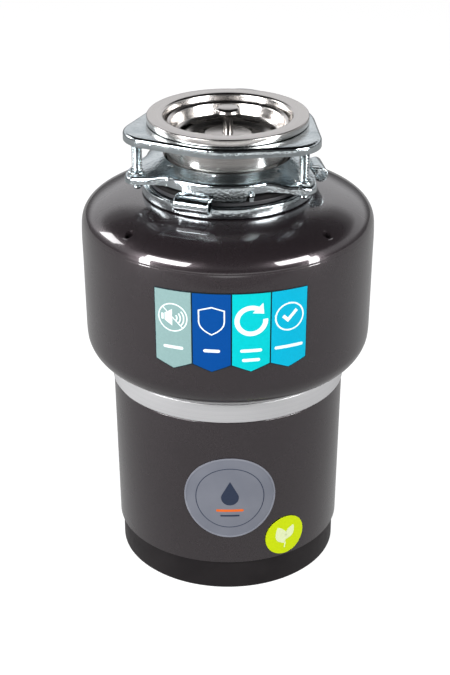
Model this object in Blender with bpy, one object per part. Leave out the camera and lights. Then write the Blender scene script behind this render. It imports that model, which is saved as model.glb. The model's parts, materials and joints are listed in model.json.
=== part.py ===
"""Kitchen garbage disposal: a continuous-feed food waste disposer with its sink mount and strainer.

Every piece is its own object. The frame is +Z up with the origin on the motor's axis, at the centre of
the flat base; the front is -Y and the waste outlet leaves at +Y. Sections and outlines are written in
millimetres as (radius, height) or (x, y) and scaled to metres by MM.
"""

import math

import bmesh
import bpy
from mathutils import Matrix, Vector

MM = 0.001
GAP = 0.3  # clearance between pieces that touch

# Segments round a turned piece
SHELL_SEGMENTS = 32
FRAME_SEGMENTS = 20
SMALL_SEGMENTS = 14
SCREW_SEGMENTS = 8

# Driving heights, bottom to top
BASE_TOP = 30.0
LOWER_SHELL_BOTTOM = 24.6
LOWER_SHELL_TOP = 143.9
BAND_BOTTOM, BAND_TOP = 144.3, 158.9
UPPER_SHELL_BOTTOM = 159.3
UPPER_SHELL_TOP = 266.9
STATOR_BOTTOM, STATOR_TOP = 62.0, 118.0
OUTLET_HEIGHT = 192.0
CHAMBER_JOINT = 220.6  # top of the end frame's flange, where the grinding chamber starts
TURNTABLE_BOTTOM = 224.3
NECK_TOP = 299.2
LOWER_RING_BOTTOM = 289.0
SLEEVE_BOTTOM = 303.5
FLANGE_TOP = 344.2

# Driving radii
BASE_RADIUS = 81.6
LOWER_SHELL_RADIUS = 83.9
LOWER_SHELL_FLARE = (85.5 - LOWER_SHELL_RADIUS) / (LOWER_SHELL_TOP - LOWER_SHELL_BOTTOM)
BAND_RADIUS = 86.1
UPPER_SHELL_RADIUS = 104.1
SHAFT_RADIUS = 8.0
SHAFT_END_RADIUS = 6.0
STATOR_RADIUS = 79.2
STATOR_BORE = 40.0
NECK_RADIUS = 50.5
SLEEVE_RADIUS = 43.3
FLANGE_RADIUS = 57.0
LUG_RADIUS = 65.1
MOUNT_SCREW_CIRCLE = 67.3
MOUNT_SCREW_RADIUS = 3.8

# Directions round the axis, in degrees
MOUNT_SCREW_ANGLES = (200.5, 320.5, 80.5)
LUG_ANGLES = (248.5, 8.5, 128.5)
TRACK_START, TRACK_END = 237.5, 284.0
COVER_SCREW_ANGLES = (45, 135, 225, 315)
MOTOR_BOLT_ANGLES = (60, 180, 300)
INLET_ANGLE = 115
INLET_HEIGHT = 245.0

COLOURS = {
    # name: (red, green, blue, roughness, metallic)
    "grey_paint": (0.075, 0.068, 0.072, 0.35, 0.6),
    "black_plastic": (0.016, 0.015, 0.016, 0.55, 0.0),
    "silver_trim": (0.72, 0.72, 0.74, 0.3, 0.9),
    "stainless": (0.62, 0.58, 0.55, 0.25, 1.0),
    "zinc_plate": (0.60, 0.65, 0.67, 0.25, 1.0),
    "rubber_black": (0.012, 0.012, 0.012, 0.75, 0.0),
    "chamber_plastic": (0.055, 0.055, 0.06, 0.5, 0.0),
    "insulation_foam": (0.18, 0.18, 0.19, 0.95, 0.0),
    "cast_aluminium": (0.56, 0.57, 0.58, 0.5, 1.0),
    "hardened_steel": (0.45, 0.44, 0.43, 0.35, 1.0),
    "bearing_bronze": (0.55, 0.36, 0.16, 0.4, 1.0),
    "laminated_steel": (0.25, 0.25, 0.27, 0.45, 1.0),
    "copper_winding": (0.60, 0.23, 0.09, 0.35, 1.0),
    "red_button": (0.55, 0.02, 0.02, 0.4, 0.0),
    "label_print": (0.0, 0.35, 0.55, 0.4, 0.0),
    "badge_print": (0.18, 0.20, 0.25, 0.4, 0.3),
    "sticker_print": (0.62, 0.72, 0.01, 0.45, 0.0),
}


def clear_scene():
    for obj in list(bpy.data.objects):
        bpy.data.objects.remove(obj, do_unlink=True)


def make_materials():
    for name, (red, green, blue, roughness, metallic) in COLOURS.items():
        material = bpy.data.materials.new(name)
        material.use_nodes = True
        shader = material.node_tree.nodes["Principled BSDF"]
        shader.inputs["Base Color"].default_value = (red, green, blue, 1)
        shader.inputs["Roughness"].default_value = roughness
        shader.inputs["Metallic"].default_value = metallic


# ---------------------------------------------------------------- shapes


def polar(radius, degrees, height=0.0):
    """The point in millimetres at this radius, direction and height."""
    angle = math.radians(degrees)
    return Vector((radius * math.cos(angle), radius * math.sin(angle), height))


def evenly(segments):
    """Directions in degrees, evenly spaced round the axis."""
    return [360 * step / segments for step in range(segments)]


def add_ring(bm, section_at, directions):
    """Carries a closed section of (radius, height) points round Z. A point at radius 0 is a pole."""
    poles = {}
    rings = []
    for degrees in directions:
        ring = []
        for index, (radius, height) in enumerate(section_at(degrees)):
            if radius:
                ring.append(bm.verts.new(polar(radius, degrees, height) * MM))
                continue
            if index not in poles:
                poles[index] = bm.verts.new((0, 0, height * MM))
            ring.append(poles[index])
        rings.append(ring)
    for here, there in zip(rings, rings[1:] + rings[:1]):
        for index in range(len(here)):
            after = (index + 1) % len(here)
            corners = [here[index], there[index], there[after], here[after]]
            corners = [v for n, v in enumerate(corners) if v not in corners[:n]]
            if len(corners) > 2:
                bm.faces.new(corners)


def add_turned(bm, section, segments):
    add_ring(bm, lambda degrees: section, evenly(segments))


def add_rod(bm, start, end, radius, segments=SCREW_SEGMENTS):
    """A solid cylinder between two points in millimetres."""
    start, end = Vector(start), Vector(end)
    along = end - start
    facing = along.to_track_quat("Z", "Y").to_matrix().to_4x4()
    bmesh.ops.create_cone(
        bm,
        cap_ends=True,
        segments=segments,
        radius1=radius * MM,
        radius2=radius * MM,
        depth=along.length * MM,
        matrix=Matrix.Translation((start + end) / 2 * MM) @ facing,
    )


def add_box(bm, low, high, turn=0.0):
    """A box between two corners in millimetres, then turned about Z by an angle in degrees."""
    low, high = Vector(low) * MM, Vector(high) * MM
    place = (
        Matrix.Rotation(math.radians(turn), 4, "Z")
        @ Matrix.Translation((low + high) / 2)
        @ Matrix.Diagonal((high - low).to_4d())
    )
    bmesh.ops.create_cube(bm, size=1, matrix=place)


def add_layers(bm, layers):
    """A solid through (outline, height) layers, bottom to top. All outlines have as many (x, y) points."""
    loops = []
    for outline, height in layers:
        loops.append([bm.verts.new((x * MM, y * MM, height * MM)) for x, y in outline])
    bm.faces.new(loops[0][::-1])
    bm.faces.new(loops[-1])
    for lower, upper in zip(loops, loops[1:]):
        for index in range(len(lower)):
            after = (index + 1) % len(lower)
            bm.faces.new((lower[index], lower[after], upper[after], upper[index]))


def add_prism(bm, outline, low, high):
    """An outline of (x, y) points raised from one height to another."""
    add_layers(bm, [(outline, low), (outline, high)])


def add_bar(bm, section, half_width, turn):
    """A (radius, height) section drawn out to both sides of the direction given by turn, in degrees."""
    ends = []
    for side in (-half_width, half_width):
        spots = [Matrix.Rotation(math.radians(turn), 3, "Z") @ Vector((r, side, z)) for r, z in section]
        ends.append([bm.verts.new(spot * MM) for spot in spots])
    near, far = ends
    bm.faces.new(near)
    bm.faces.new(far[::-1])
    for index in range(len(section)):
        after = (index + 1) % len(section)
        bm.faces.new((near[index], near[after], far[after], far[index]))


def arc(centre, radius, start, end, steps):
    """Points on an arc in the XY plane, angles in degrees, both ends included."""
    points = []
    for step in range(steps + 1):
        angle = math.radians(start + (end - start) * step / steps)
        points.append((centre[0] + radius * math.cos(angle), centre[1] + radius * math.sin(angle)))
    return points


def link(name, bm):
    bmesh.ops.recalc_face_normals(bm, faces=bm.faces)
    mesh = bpy.data.meshes.new(name)
    bm.to_mesh(mesh)
    bm.free()
    obj = bpy.data.objects.new(name, mesh)
    bpy.context.scene.collection.objects.link(obj)
    return obj


def piece(name, bm, material, parent=None, origin=(0, 0, 0)):
    """A visible piece. Its origin goes to the given point, in millimetres, without moving its shape."""
    shift(bm, -Vector(origin))
    obj = link(name, bm)
    obj.location = Vector(origin) * MM
    obj.data.materials.append(bpy.data.materials[material])
    obj.data.shade_smooth()
    obj.data.set_sharp_from_angle(angle=math.radians(35))
    obj.parent = parent
    return obj


def shape_with(obj, operation, bm, label):
    """Cuts from obj, or joins to it, the shape in bm, which is in world millimetres scaled by MM."""
    helper = link(f"{obj.name}_{label}", bm)
    helper.hide_render = True
    helper.display_type = "WIRE"
    helper.location = -obj.location
    helper.parent = obj
    modifier = obj.modifiers.new(label, "BOOLEAN")
    modifier.operation = operation
    modifier.solver = "EXACT"
    modifier.object = helper


def cut(obj, label, *adders):
    bm = bmesh.new()
    for adder in adders:
        adder(bm)
    shape_with(obj, "DIFFERENCE", bm, label)


def join(obj, label, *adders):
    for number, adder in enumerate(adders, 1):
        bm = bmesh.new()
        adder(bm)
        shape_with(obj, "UNION", bm, f"{label}_{number}")


def turned(name, section, material, segments=FRAME_SEGMENTS, parent=None, origin=(0, 0, 0)):
    bm = bmesh.new()
    add_turned(bm, section, segments)
    return piece(name, bm, material, parent, origin)


def rod_adder(start, end, radius, segments=SCREW_SEGMENTS):
    return lambda bm: add_rod(bm, start, end, radius, segments)


def box_adder(low, high, turn=0.0):
    return lambda bm: add_box(bm, low, high, turn)


def bar_adder(section, half_width, turn):
    return lambda bm: add_bar(bm, section, half_width, turn)


def spin(bm, degrees, axis="Z"):
    """Turns everything made so far about one of the frame's axes."""
    turn = Matrix.Rotation(math.radians(degrees), 3, axis)
    bmesh.ops.rotate(bm, cent=(0, 0, 0), matrix=turn, verts=bm.verts)


def shift(bm, offset):
    """Moves everything made so far by an offset in millimetres."""
    bmesh.ops.translate(bm, verts=bm.verts, vec=Vector(offset) * MM)


def empty(name):
    obj = bpy.data.objects.new(name, None)
    bpy.context.scene.collection.objects.link(obj)
    return obj


def screw(name, seat, direction, head, shank, parent):
    """A pan-head screw. seat is the point under its head, direction the way its shank goes.

    head and shank are each (radius, length) in millimetres.
    """
    head_radius, head_length = head
    shank_radius, shank_length = shank
    section = [
        (0, head_length),
        (head_radius * 0.7, head_length),
        (head_radius, head_length * 0.6),
        (head_radius, 0),
        (shank_radius, 0),
        (shank_radius, -shank_length),
        (0, -shank_length),
    ]
    bm = bmesh.new()
    add_turned(bm, section, SCREW_SEGMENTS)
    turn = (-Vector(direction)).to_track_quat("Z", "Y").to_matrix()
    bmesh.ops.rotate(bm, cent=(0, 0, 0), matrix=turn, verts=bm.verts)
    shift(bm, seat)
    return piece(name, bm, "zinc_plate", parent, seat)


def lower_shell_radius(height):
    return LOWER_SHELL_RADIUS + LOWER_SHELL_FLARE * (height - LOWER_SHELL_BOTTOM)


# ---------------------------------------------------------------- base and electrics

BUTTON_SPOT = (-38.0, 0.0)
WIRING_SCREW_SPOT = (0.0, 56.5)
GLAND_HEIGHT = 13.5


def make_base(parent):
    floor_under, floor_top = 4.0, 6.5
    cover = turned(
        "base_cover",
        [
            (0, 0),
            (13, 0),
            (15, floor_under),
            (67, floor_under),
            (70, 0),
            (80, 0),
            (BASE_RADIUS, 1.6),
            (BASE_RADIUS, BASE_TOP),
            (79, BASE_TOP),
            (79, floor_top),
            (0, floor_top),
        ],
        "black_plastic",
        SHELL_SEGMENTS,
        parent,
    )
    cut(
        cover,
        "openings",
        rod_adder((*BUTTON_SPOT, -5), (*BUTTON_SPOT, 12), 6.0, SMALL_SEGMENTS),
        box_adder((-22, 31, -5), (22, 52, 12)),
        rod_adder((*WIRING_SCREW_SPOT, -5), (*WIRING_SCREW_SPOT, 12), 2.0),
        rod_adder((0, 76, GLAND_HEIGHT), (0, 95, GLAND_HEIGHT), 7.3),
    )

    bm = bmesh.new()
    add_box(bm, (-28, 26, 2.4), (28, 60, 3.7))
    wiring_cover = piece("wiring_cover", bm, "zinc_plate", parent)
    cut(wiring_cover, "hole", rod_adder((*WIRING_SCREW_SPOT, 0), (*WIRING_SCREW_SPOT, 6), 2.0))
    screw("wiring_cover_screw", (*WIRING_SCREW_SPOT, 2.1), (0, 0, 1), (3.6, 1.3), (1.7, 8), parent)

    gland_section = [
        (4.0, 67),
        (6.5, 67),
        (6.5, 82.1),
        (10, 82.1),
        (10, 85.5),
        (6.5, 90),
        (4.0, 90),
    ]
    bm = bmesh.new()
    add_turned(bm, gland_section, SCREW_SEGMENTS)
    spin(bm, -90, "X")
    shift(bm, (0, 0, GLAND_HEIGHT))
    piece("cable_gland", bm, "black_plastic", parent, (0, 82, GLAND_HEIGHT))

    bm = bmesh.new()
    add_rod(bm, (38, -28, 20), (38, 28, 20), 12.3, SMALL_SEGMENTS)
    piece("start_capacitor", bm, "black_plastic", parent, (38, 0, 20))

    bm = bmesh.new()
    add_box(bm, (-55, -13, 16.2), (-21, 13, 32.4))
    overload = piece("overload_protector", bm, "black_plastic", parent, (-38, 0, 24))
    cut(overload, "socket", rod_adder((*BUTTON_SPOT, 10), (*BUTTON_SPOT, 20), 5.2, SCREW_SEGMENTS))

    button = [(0, 1.2), (4.6, 1.2), (5.4, 2), (5.4, 6.9), (7, 6.9), (7, 8.5), (4, 8.5), (4, 16), (0, 16)]
    bm = bmesh.new()
    add_turned(bm, button, SCREW_SEGMENTS)
    shift(bm, (*BUTTON_SPOT, 0))
    piece("reset_button", bm, "red_button", parent, (*BUTTON_SPOT, 6.9))


# ---------------------------------------------------------------- motor

MOTOR_BOLT_CIRCLE = 71.0
SLOTS = 18


def make_motor_housing(parent):
    lower_frame = turned(
        "lower_end_frame",
        [
            (0, 33),
            (80.6, 33),
            (80.6, STATOR_BOTTOM - GAP),
            (77, STATOR_BOTTOM - GAP),
            (77, 37),
            (19, 37),
            (19, 50),
            (14.4, 50),
            (14.4, 36),
            (0, 36),
        ],
        "cast_aluminium",
        FRAME_SEGMENTS,
        parent,
    )
    bolt_holes = []
    for degrees in MOTOR_BOLT_ANGLES:
        low = polar(MOTOR_BOLT_CIRCLE, degrees, 25)
        high = polar(MOTOR_BOLT_CIRCLE, degrees, 140)
        bolt_holes.append(rod_adder(low, high, 2.8))
    cut(lower_frame, "bolt_holes", *bolt_holes)

    # Each slot takes one narrow and one wide step of the bore, so a tooth stands between two slots.
    steps_per_slot = 4

    def stator_section(degrees):
        step = round(degrees * SLOTS * steps_per_slot / 360) % steps_per_slot
        bore = STATOR_BORE if step < 2 else 58.0
        return [
            (bore, STATOR_BOTTOM),
            (STATOR_RADIUS, STATOR_BOTTOM),
            (STATOR_RADIUS, STATOR_TOP),
            (bore, STATOR_TOP),
        ]

    bm = bmesh.new()
    add_ring(bm, stator_section, evenly(SLOTS * steps_per_slot))
    stator = piece("stator_core", bm, "laminated_steel", parent)
    cut(stator, "bolt_holes", *bolt_holes)

    make_winding(parent, slot_angle=360 * 2.5 / (SLOTS * steps_per_slot))
    for number, degrees in enumerate(MOTOR_BOLT_ANGLES, 1):
        seat = polar(MOTOR_BOLT_CIRCLE, degrees, 33 - GAP)
        screw(f"motor_bolt_{number}", seat, (0, 0, 1), (4.5, 3.2), (2.5, 104), parent)

    turned(
        "lower_bearing",
        [(8.4, 38.6), (14.0, 38.6), (14.0, 49.6), (8.4, 49.6)],
        "bearing_bronze",
        SMALL_SEGMENTS,
        parent,
    )


def make_winding(parent, slot_angle):
    """The stator's coil: an end turn above and below the core, and a bar through every second slot."""

    def end_turn(low, high):
        return [
            (46, low),
            (60, low),
            (64, low + 4),
            (64, high - 4),
            (60, high),
            (46, high),
        ]

    upper = end_turn(STATOR_TOP + 2, STATOR_TOP + 16)
    lower = end_turn(STATOR_BOTTOM - 16, STATOR_BOTTOM - 2)
    winding = turned("stator_winding", upper, "copper_winding", FRAME_SEGMENTS, parent)
    join(winding, "lower_turn", lambda bm: add_turned(bm, lower, FRAME_SEGMENTS))
    bm = bmesh.new()
    for slot in range(0, SLOTS, 2):
        turn = slot * 360 / SLOTS + slot_angle
        add_box(bm, (47.5, -1.2, STATOR_BOTTOM - 6), (56, 1.2, STATOR_TOP + 6), turn)
    shape_with(winding, "UNION", bm, "slot_bars")


def make_upper_end_frame(parent):
    """The casting over the motor. Its top is the channel that carries ground waste to the outlet."""
    wall, bore = 92.0, 84.5
    flange_under = CHAMBER_JOINT - 4.6
    frame = turned(
        "upper_end_frame",
        [
            (77, STATOR_TOP + GAP),
            (80.6, STATOR_TOP + GAP),
            (80.6, 162),
            (88, 172),
            (wall, 178),
            (wall, flange_under),
            (99, flange_under),
            (99, CHAMBER_JOINT),
            (bore, CHAMBER_JOINT),
            (bore, 171),
            (76, 164),
            (24, 161),
            (22, 166),
            (15.5, 166),
            (15.5, 138.2),
            (12, 138.2),
            (12, 134),
            (20, 134),
            (20, 151),
            (72, 154.5),
            (77, 150),
        ],
        "cast_aluminium",
        FRAME_SEGMENTS,
        parent,
    )
    bosses = [
        rod_adder(polar(MOTOR_BOLT_CIRCLE, a, 121), polar(MOTOR_BOLT_CIRCLE, a, 157), 5.2)
        for a in MOTOR_BOLT_ANGLES
    ]
    ears = [
        rod_adder((x, 80, OUTLET_HEIGHT), (x, 92.5, OUTLET_HEIGHT), 6.0)
        for x in (-OUTLET_SCREW_OFFSET, OUTLET_SCREW_OFFSET)
    ]
    port = rod_adder((0, 82, OUTLET_HEIGHT), (0, OUTLET_FACE, OUTLET_HEIGHT), OUTLET_COLLAR, SMALL_SEGMENTS)
    join(frame, "bosses_and_port", *bosses, *ears, port)
    cut(
        frame,
        "passages",
        rod_adder((0, 60, OUTLET_HEIGHT), (0, 120, OUTLET_HEIGHT), OUTLET_BORE, SMALL_SEGMENTS),
        *[
            rod_adder(polar(MOTOR_BOLT_CIRCLE, a, 100), polar(MOTOR_BOLT_CIRCLE, a, 141), 2.8)
            for a in MOTOR_BOLT_ANGLES
        ],
        *[
            rod_adder((x, 85, OUTLET_HEIGHT), (x, 120, OUTLET_HEIGHT), 2.6)
            for x in (-OUTLET_SCREW_OFFSET, OUTLET_SCREW_OFFSET)
        ],
    )
    turned(
        "upper_bearing",
        [(8.4, 138.6), (15.1, 138.6), (15.1, 156.2), (8.4, 156.2)],
        "bearing_bronze",
        SMALL_SEGMENTS,
        parent,
    )
    turned(
        "shaft_seal",
        [(8.4, 156.6), (15.1, 156.6), (15.1, 165.6), (11, 165.6), (8.4, 161)],
        "rubber_black",
        SMALL_SEGMENTS,
        parent,
    )


def make_rotor(rotor):
    turned(
        "rotor_shaft",
        [
            (0, 36.4),
            (6.6, 36.4),
            (SHAFT_RADIUS, 38),
            (SHAFT_RADIUS, TURNTABLE_BOTTOM - GAP),
            (SHAFT_END_RADIUS, TURNTABLE_BOTTOM - GAP),
            (SHAFT_END_RADIUS, 240),
            (5, 241),
            (0, 241),
        ],
        "hardened_steel",
        SMALL_SEGMENTS,
        rotor,
    )
    turned(
        "rotor_core",
        [
            (8.4, STATOR_BOTTOM),
            (26, 56),
            (39.2, 58),
            (39.2, 122),
            (26, 124),
            (8.4, STATOR_TOP),
        ],
        "laminated_steel",
        FRAME_SEGMENTS,
        rotor,
    )
    turned(
        "water_slinger",
        [
            (8.4, 168.4),
            (25.4, 168.4),
            (25.8, 164.6),
            (27.8, 164.6),
            (26.6, 171),
            (12, 173),
            (8.4, 178),
        ],
        "rubber_black",
        SMALL_SEGMENTS,
        rotor,
    )


# ---------------------------------------------------------------- grinding chamber

IMPELLER_PIVOT = 52.0
TURNTABLE_TOP = TURNTABLE_BOTTOM + 3.3


def make_turntable(rotor):
    table = turned(
        "turntable",
        [
            (6.5, TURNTABLE_BOTTOM),
            (82.4, TURNTABLE_BOTTOM),
            (82.4, TURNTABLE_TOP),
            (16, TURNTABLE_TOP),
            (14, TURNTABLE_TOP + 3),
            (6.5, TURNTABLE_TOP + 3),
        ],
        "stainless",
        SHELL_SEGMENTS,
        rotor,
    )
    holes = [rod_adder((x, 0, 215), (x, 0, 240), 3.8) for x in (-IMPELLER_PIVOT, IMPELLER_PIVOT)]
    for degrees in (50, 130, 230, 310):
        holes.append(rod_adder(polar(58, degrees, 215), polar(58, degrees, 240), 5))
    cut(table, "holes", *holes)

    bm = bmesh.new()
    add_prism(bm, arc((0, 0), 11, 0, 300, 5), TURNTABLE_TOP + 3.4, TURNTABLE_TOP + 10.4)
    nut = piece("turntable_nut", bm, "hardened_steel", rotor)
    cut(nut, "bore", rod_adder((0, 0, 220), (0, 0, 250), 6.5, SMALL_SEGMENTS))

    for number, direction in enumerate((0, 180), 1):
        make_impeller(number, direction, rotor)


def make_impeller(number, direction, rotor):
    """A swinging lug with a raised hammer at its outer end, and the rivet that it turns on."""
    pivot = polar(IMPELLER_PIVOT, direction, TURNTABLE_TOP)
    low, plate_top, hammer_top = TURNTABLE_TOP + 0.4, TURNTABLE_TOP + 4.6, TURNTABLE_TOP + 14.0
    round_pivot = arc((IMPELLER_PIVOT, 0), 9, 90, 270, 6)
    outer_end = arc((IMPELLER_PIVOT + 19, 0), 8, -60, 60, 4)
    bm = bmesh.new()
    add_prism(bm, round_pivot + outer_end, low, plate_top)
    spin(bm, direction)
    lug = piece(f"impeller_{number}", bm, "stainless", rotor, pivot)
    hammer_start, hammer_end = IMPELLER_PIVOT + 15, IMPELLER_PIVOT + 25.5
    join(lug, "hammer", box_adder((hammer_start, -6, plate_top - 1), (hammer_end, 6, hammer_top), direction))
    cut(lug, "pivot_hole", rod_adder(pivot - Vector((0, 0, 20)), pivot + Vector((0, 0, 20)), 3.9))

    rivet = [
        (0, TURNTABLE_BOTTOM - 2.2),
        (5.5, TURNTABLE_BOTTOM - 2.2),
        (5.5, TURNTABLE_BOTTOM - GAP),
        (3.4, TURNTABLE_BOTTOM - GAP),
        (3.4, plate_top + GAP),
        (6.4, plate_top + GAP),
        (4.8, plate_top + 2.4),
        (0, plate_top + 2.8),
    ]
    bm = bmesh.new()
    add_turned(bm, rivet, SCREW_SEGMENTS)
    shift(bm, (pivot.x, pivot.y, 0))
    piece(f"impeller_rivet_{number}", bm, "hardened_steel", rotor, pivot)


def make_shredder_ring(parent):
    """A fixed ring round the turntable whose lower edge is cut into teeth."""
    teeth, steps_per_tooth = 16, 3

    def section(degrees):
        step = round(degrees * teeth * steps_per_tooth / 360) % steps_per_tooth
        lower_bore = 83.3 if step else 85.4
        return [
            (87.0, CHAMBER_JOINT + 0.4),
            (87.0, 248),
            (83.3, 248),
            (83.3, 238),
            (lower_bore, 236),
            (lower_bore, CHAMBER_JOINT + 0.4),
        ]

    bm = bmesh.new()
    add_ring(bm, section, evenly(teeth * steps_per_tooth))
    piece("shredder_ring", bm, "hardened_steel", parent)


def inlet_rod(start, end, radius):
    """A rod along the dishwasher inlet, between two distances from the motor's axis."""
    return rod_adder(
        polar(start, INLET_ANGLE, INLET_HEIGHT), polar(end, INLET_ANGLE, INLET_HEIGHT), radius, SCREW_SEGMENTS
    )


def make_hopper(parent):
    """The container over the turntable, with the neck at its top and a nipple for a dishwasher drain."""
    bottom = CHAMBER_JOINT + 1.8
    flange_top = bottom + 4.2
    hopper = turned(
        "hopper",
        [
            (99, bottom),
            (99, flange_top),
            (92, flange_top),
            (92, 258),
            (86, 268),
            (70, 277.5),
            (56, 281.5),
            (NECK_RADIUS, 284.5),
            (NECK_RADIUS, 296.2),
            (56, 296.2),
            (56, NECK_TOP),
            (46.6, NECK_TOP),
            (46.6, 284),
            (52, 278.5),
            (68, 273.5),
            (82.5, 265.5),
            (88.4, 256),
            (88.4, bottom),
        ],
        "chamber_plastic",
        FRAME_SEGMENTS,
        parent,
    )
    join(hopper, "nipple", inlet_rod(90, 119, 10.0))
    cut(hopper, "nipple_bore", inlet_rod(80, 130, 7.7))

    plug = [(0, 112), (6.9, 112), (6.9, 119.4), (10, 119.4), (10, 122), (0, 122)]
    bm = bmesh.new()
    add_turned(bm, plug, SCREW_SEGMENTS)
    spin(bm, 90, "Y")
    spin(bm, INLET_ANGLE)
    shift(bm, (0, 0, INLET_HEIGHT))
    piece("dishwasher_inlet_plug", bm, "black_plastic", parent, polar(119, INLET_ANGLE, INLET_HEIGHT))

    jacket = turned(
        "insulation_jacket",
        [(93.2, 231), (101.2, 231), (101.2, 254), (93.2, 254)],
        "insulation_foam",
        FRAME_SEGMENTS,
        parent,
    )
    cut(jacket, "nipple_gap", inlet_rod(85, 110, 10.9))

    low, high = CHAMBER_JOINT - 6.4, flange_top + 2.2
    turned(
        "body_clamp_band",
        [
            (93.5, low),
            (101.0, low),
            (101.0, high),
            (93.5, high),
            (93.5, flange_top + 0.4),
            (99.6, flange_top + 0.4),
            (99.6, CHAMBER_JOINT - 5.0),
            (93.5, CHAMBER_JOINT - 5.0),
        ],
        "stainless",
        FRAME_SEGMENTS,
        parent,
    )


# ---------------------------------------------------------------- waste outlet

OUTLET_BORE = 15.0
OUTLET_COLLAR = 21.0
OUTLET_FACE = 100.4
OUTLET_SCREW_OFFSET = 32.0
ELBOW_RADIUS = 17.5
ELBOW_BEND = 24.0


def make_outlet(parent):
    gasket = bmesh.new()
    add_turned(
        gasket,
        [
            (OUTLET_BORE + 0.4, OUTLET_FACE + GAP),
            (OUTLET_COLLAR, OUTLET_FACE + GAP),
            (OUTLET_COLLAR, OUTLET_FACE + 5),
            (OUTLET_BORE + 0.4, OUTLET_FACE + 5),
        ],
        SMALL_SEGMENTS,
    )
    to_back(gasket)
    piece("outlet_gasket", gasket, "rubber_black", parent, (0, OUTLET_FACE, OUTLET_HEIGHT))
    make_elbow(parent)

    plate_low = OUTLET_FACE + 9.8
    plan = arc((-OUTLET_SCREW_OFFSET, 0), 8, 120, 240, 4) + arc((0, 0), 24, 235, 305, 5)
    plan += arc((OUTLET_SCREW_OFFSET, 0), 8, -60, 60, 4) + arc((0, 0), 24, 55, 125, 5)
    bm = bmesh.new()
    add_prism(bm, plan, plate_low, plate_low + 2.4)
    to_back(bm)
    plate = piece("outlet_flange", bm, "zinc_plate", parent, (0, plate_low, OUTLET_HEIGHT))
    holes = [
        rod_adder((x, plate_low - 5, OUTLET_HEIGHT), (x, plate_low + 8, OUTLET_HEIGHT), 2.7)
        for x in (-OUTLET_SCREW_OFFSET, OUTLET_SCREW_OFFSET)
    ]
    before, behind = (0, plate_low - 5, OUTLET_HEIGHT), (0, plate_low + 8, OUTLET_HEIGHT)
    cut(plate, "holes", rod_adder(before, behind, ELBOW_RADIUS + 0.6, SMALL_SEGMENTS), *holes)
    for number, x in ((1, -OUTLET_SCREW_OFFSET), (2, OUTLET_SCREW_OFFSET)):
        seat = (x, plate_low + 2.4 + GAP, OUTLET_HEIGHT)
        screw(f"outlet_screw_{number}", seat, (0, -1, 0), (4.6, 3.4), (2.3, 26), parent)


def to_back(bm):
    """Lays a shape turned about Z along +Y, at the outlet's height."""
    spin(bm, -90, "X")
    shift(bm, (0, 0, OUTLET_HEIGHT))


def make_elbow(parent):
    """A hollow pipe that leaves the outlet, bends down and ends in a plain spigot."""
    start = OUTLET_FACE + 5.3
    straight = start + 12.0
    collar_end = start + 4
    stations = [
        (start, 0, 0, OUTLET_COLLAR),
        (collar_end, 0, 0, OUTLET_COLLAR),
        (collar_end + 0.01, 0, 0, ELBOW_RADIUS),
    ]
    bend_steps = 4
    for step in range(bend_steps + 1):
        angle = math.pi / 2 * step / bend_steps
        along = straight + ELBOW_BEND * math.sin(angle)
        drop = ELBOW_BEND * (1 - math.cos(angle))
        stations.append((along, -drop, angle, ELBOW_RADIUS))
    stations.append((straight + ELBOW_BEND, -ELBOW_BEND - 42, math.pi / 2, ELBOW_RADIUS))

    bm = bmesh.new()
    walls = []
    for inner in (False, True):
        rings = []
        for along, drop, angle, radius in stations:
            centre = Vector((0, along, OUTLET_HEIGHT + drop))
            up = Vector((0, math.sin(angle), math.cos(angle)))
            ring = []
            for step in range(SMALL_SEGMENTS):
                turn = 2 * math.pi * step / SMALL_SEGMENTS
                reach = OUTLET_BORE if inner else radius
                spot = centre + reach * (math.cos(turn) * Vector((1, 0, 0)) + math.sin(turn) * up)
                ring.append(bm.verts.new(spot * MM))
            rings.append(ring)
        walls.append(rings)
    outer, inside = walls
    for here, there in (
        *zip(outer, outer[1:]),
        *zip(inside, inside[1:]),
        (outer[0], inside[0]),
        (outer[-1], inside[-1]),
    ):
        for step in range(SMALL_SEGMENTS):
            after = (step + 1) % SMALL_SEGMENTS
            bm.faces.new((here[step], here[after], there[after], there[step]))
    piece("outlet_elbow", bm, "black_plastic", parent, (0, start, OUTLET_HEIGHT))


# ---------------------------------------------------------------- outer shells

COVER_SCREW_CIRCLE = 94.5
LEDGE_TOP = 269.4  # the inner ledge of the top cover, where its screws sit


def cover_screw_rods(low, high, radius):
    """A rod on the axis of each of the top cover's screws, between two heights."""
    return [
        rod_adder(polar(COVER_SCREW_CIRCLE, a, low), polar(COVER_SCREW_CIRCLE, a, high), radius)
        for a in COVER_SCREW_ANGLES
    ]


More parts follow.
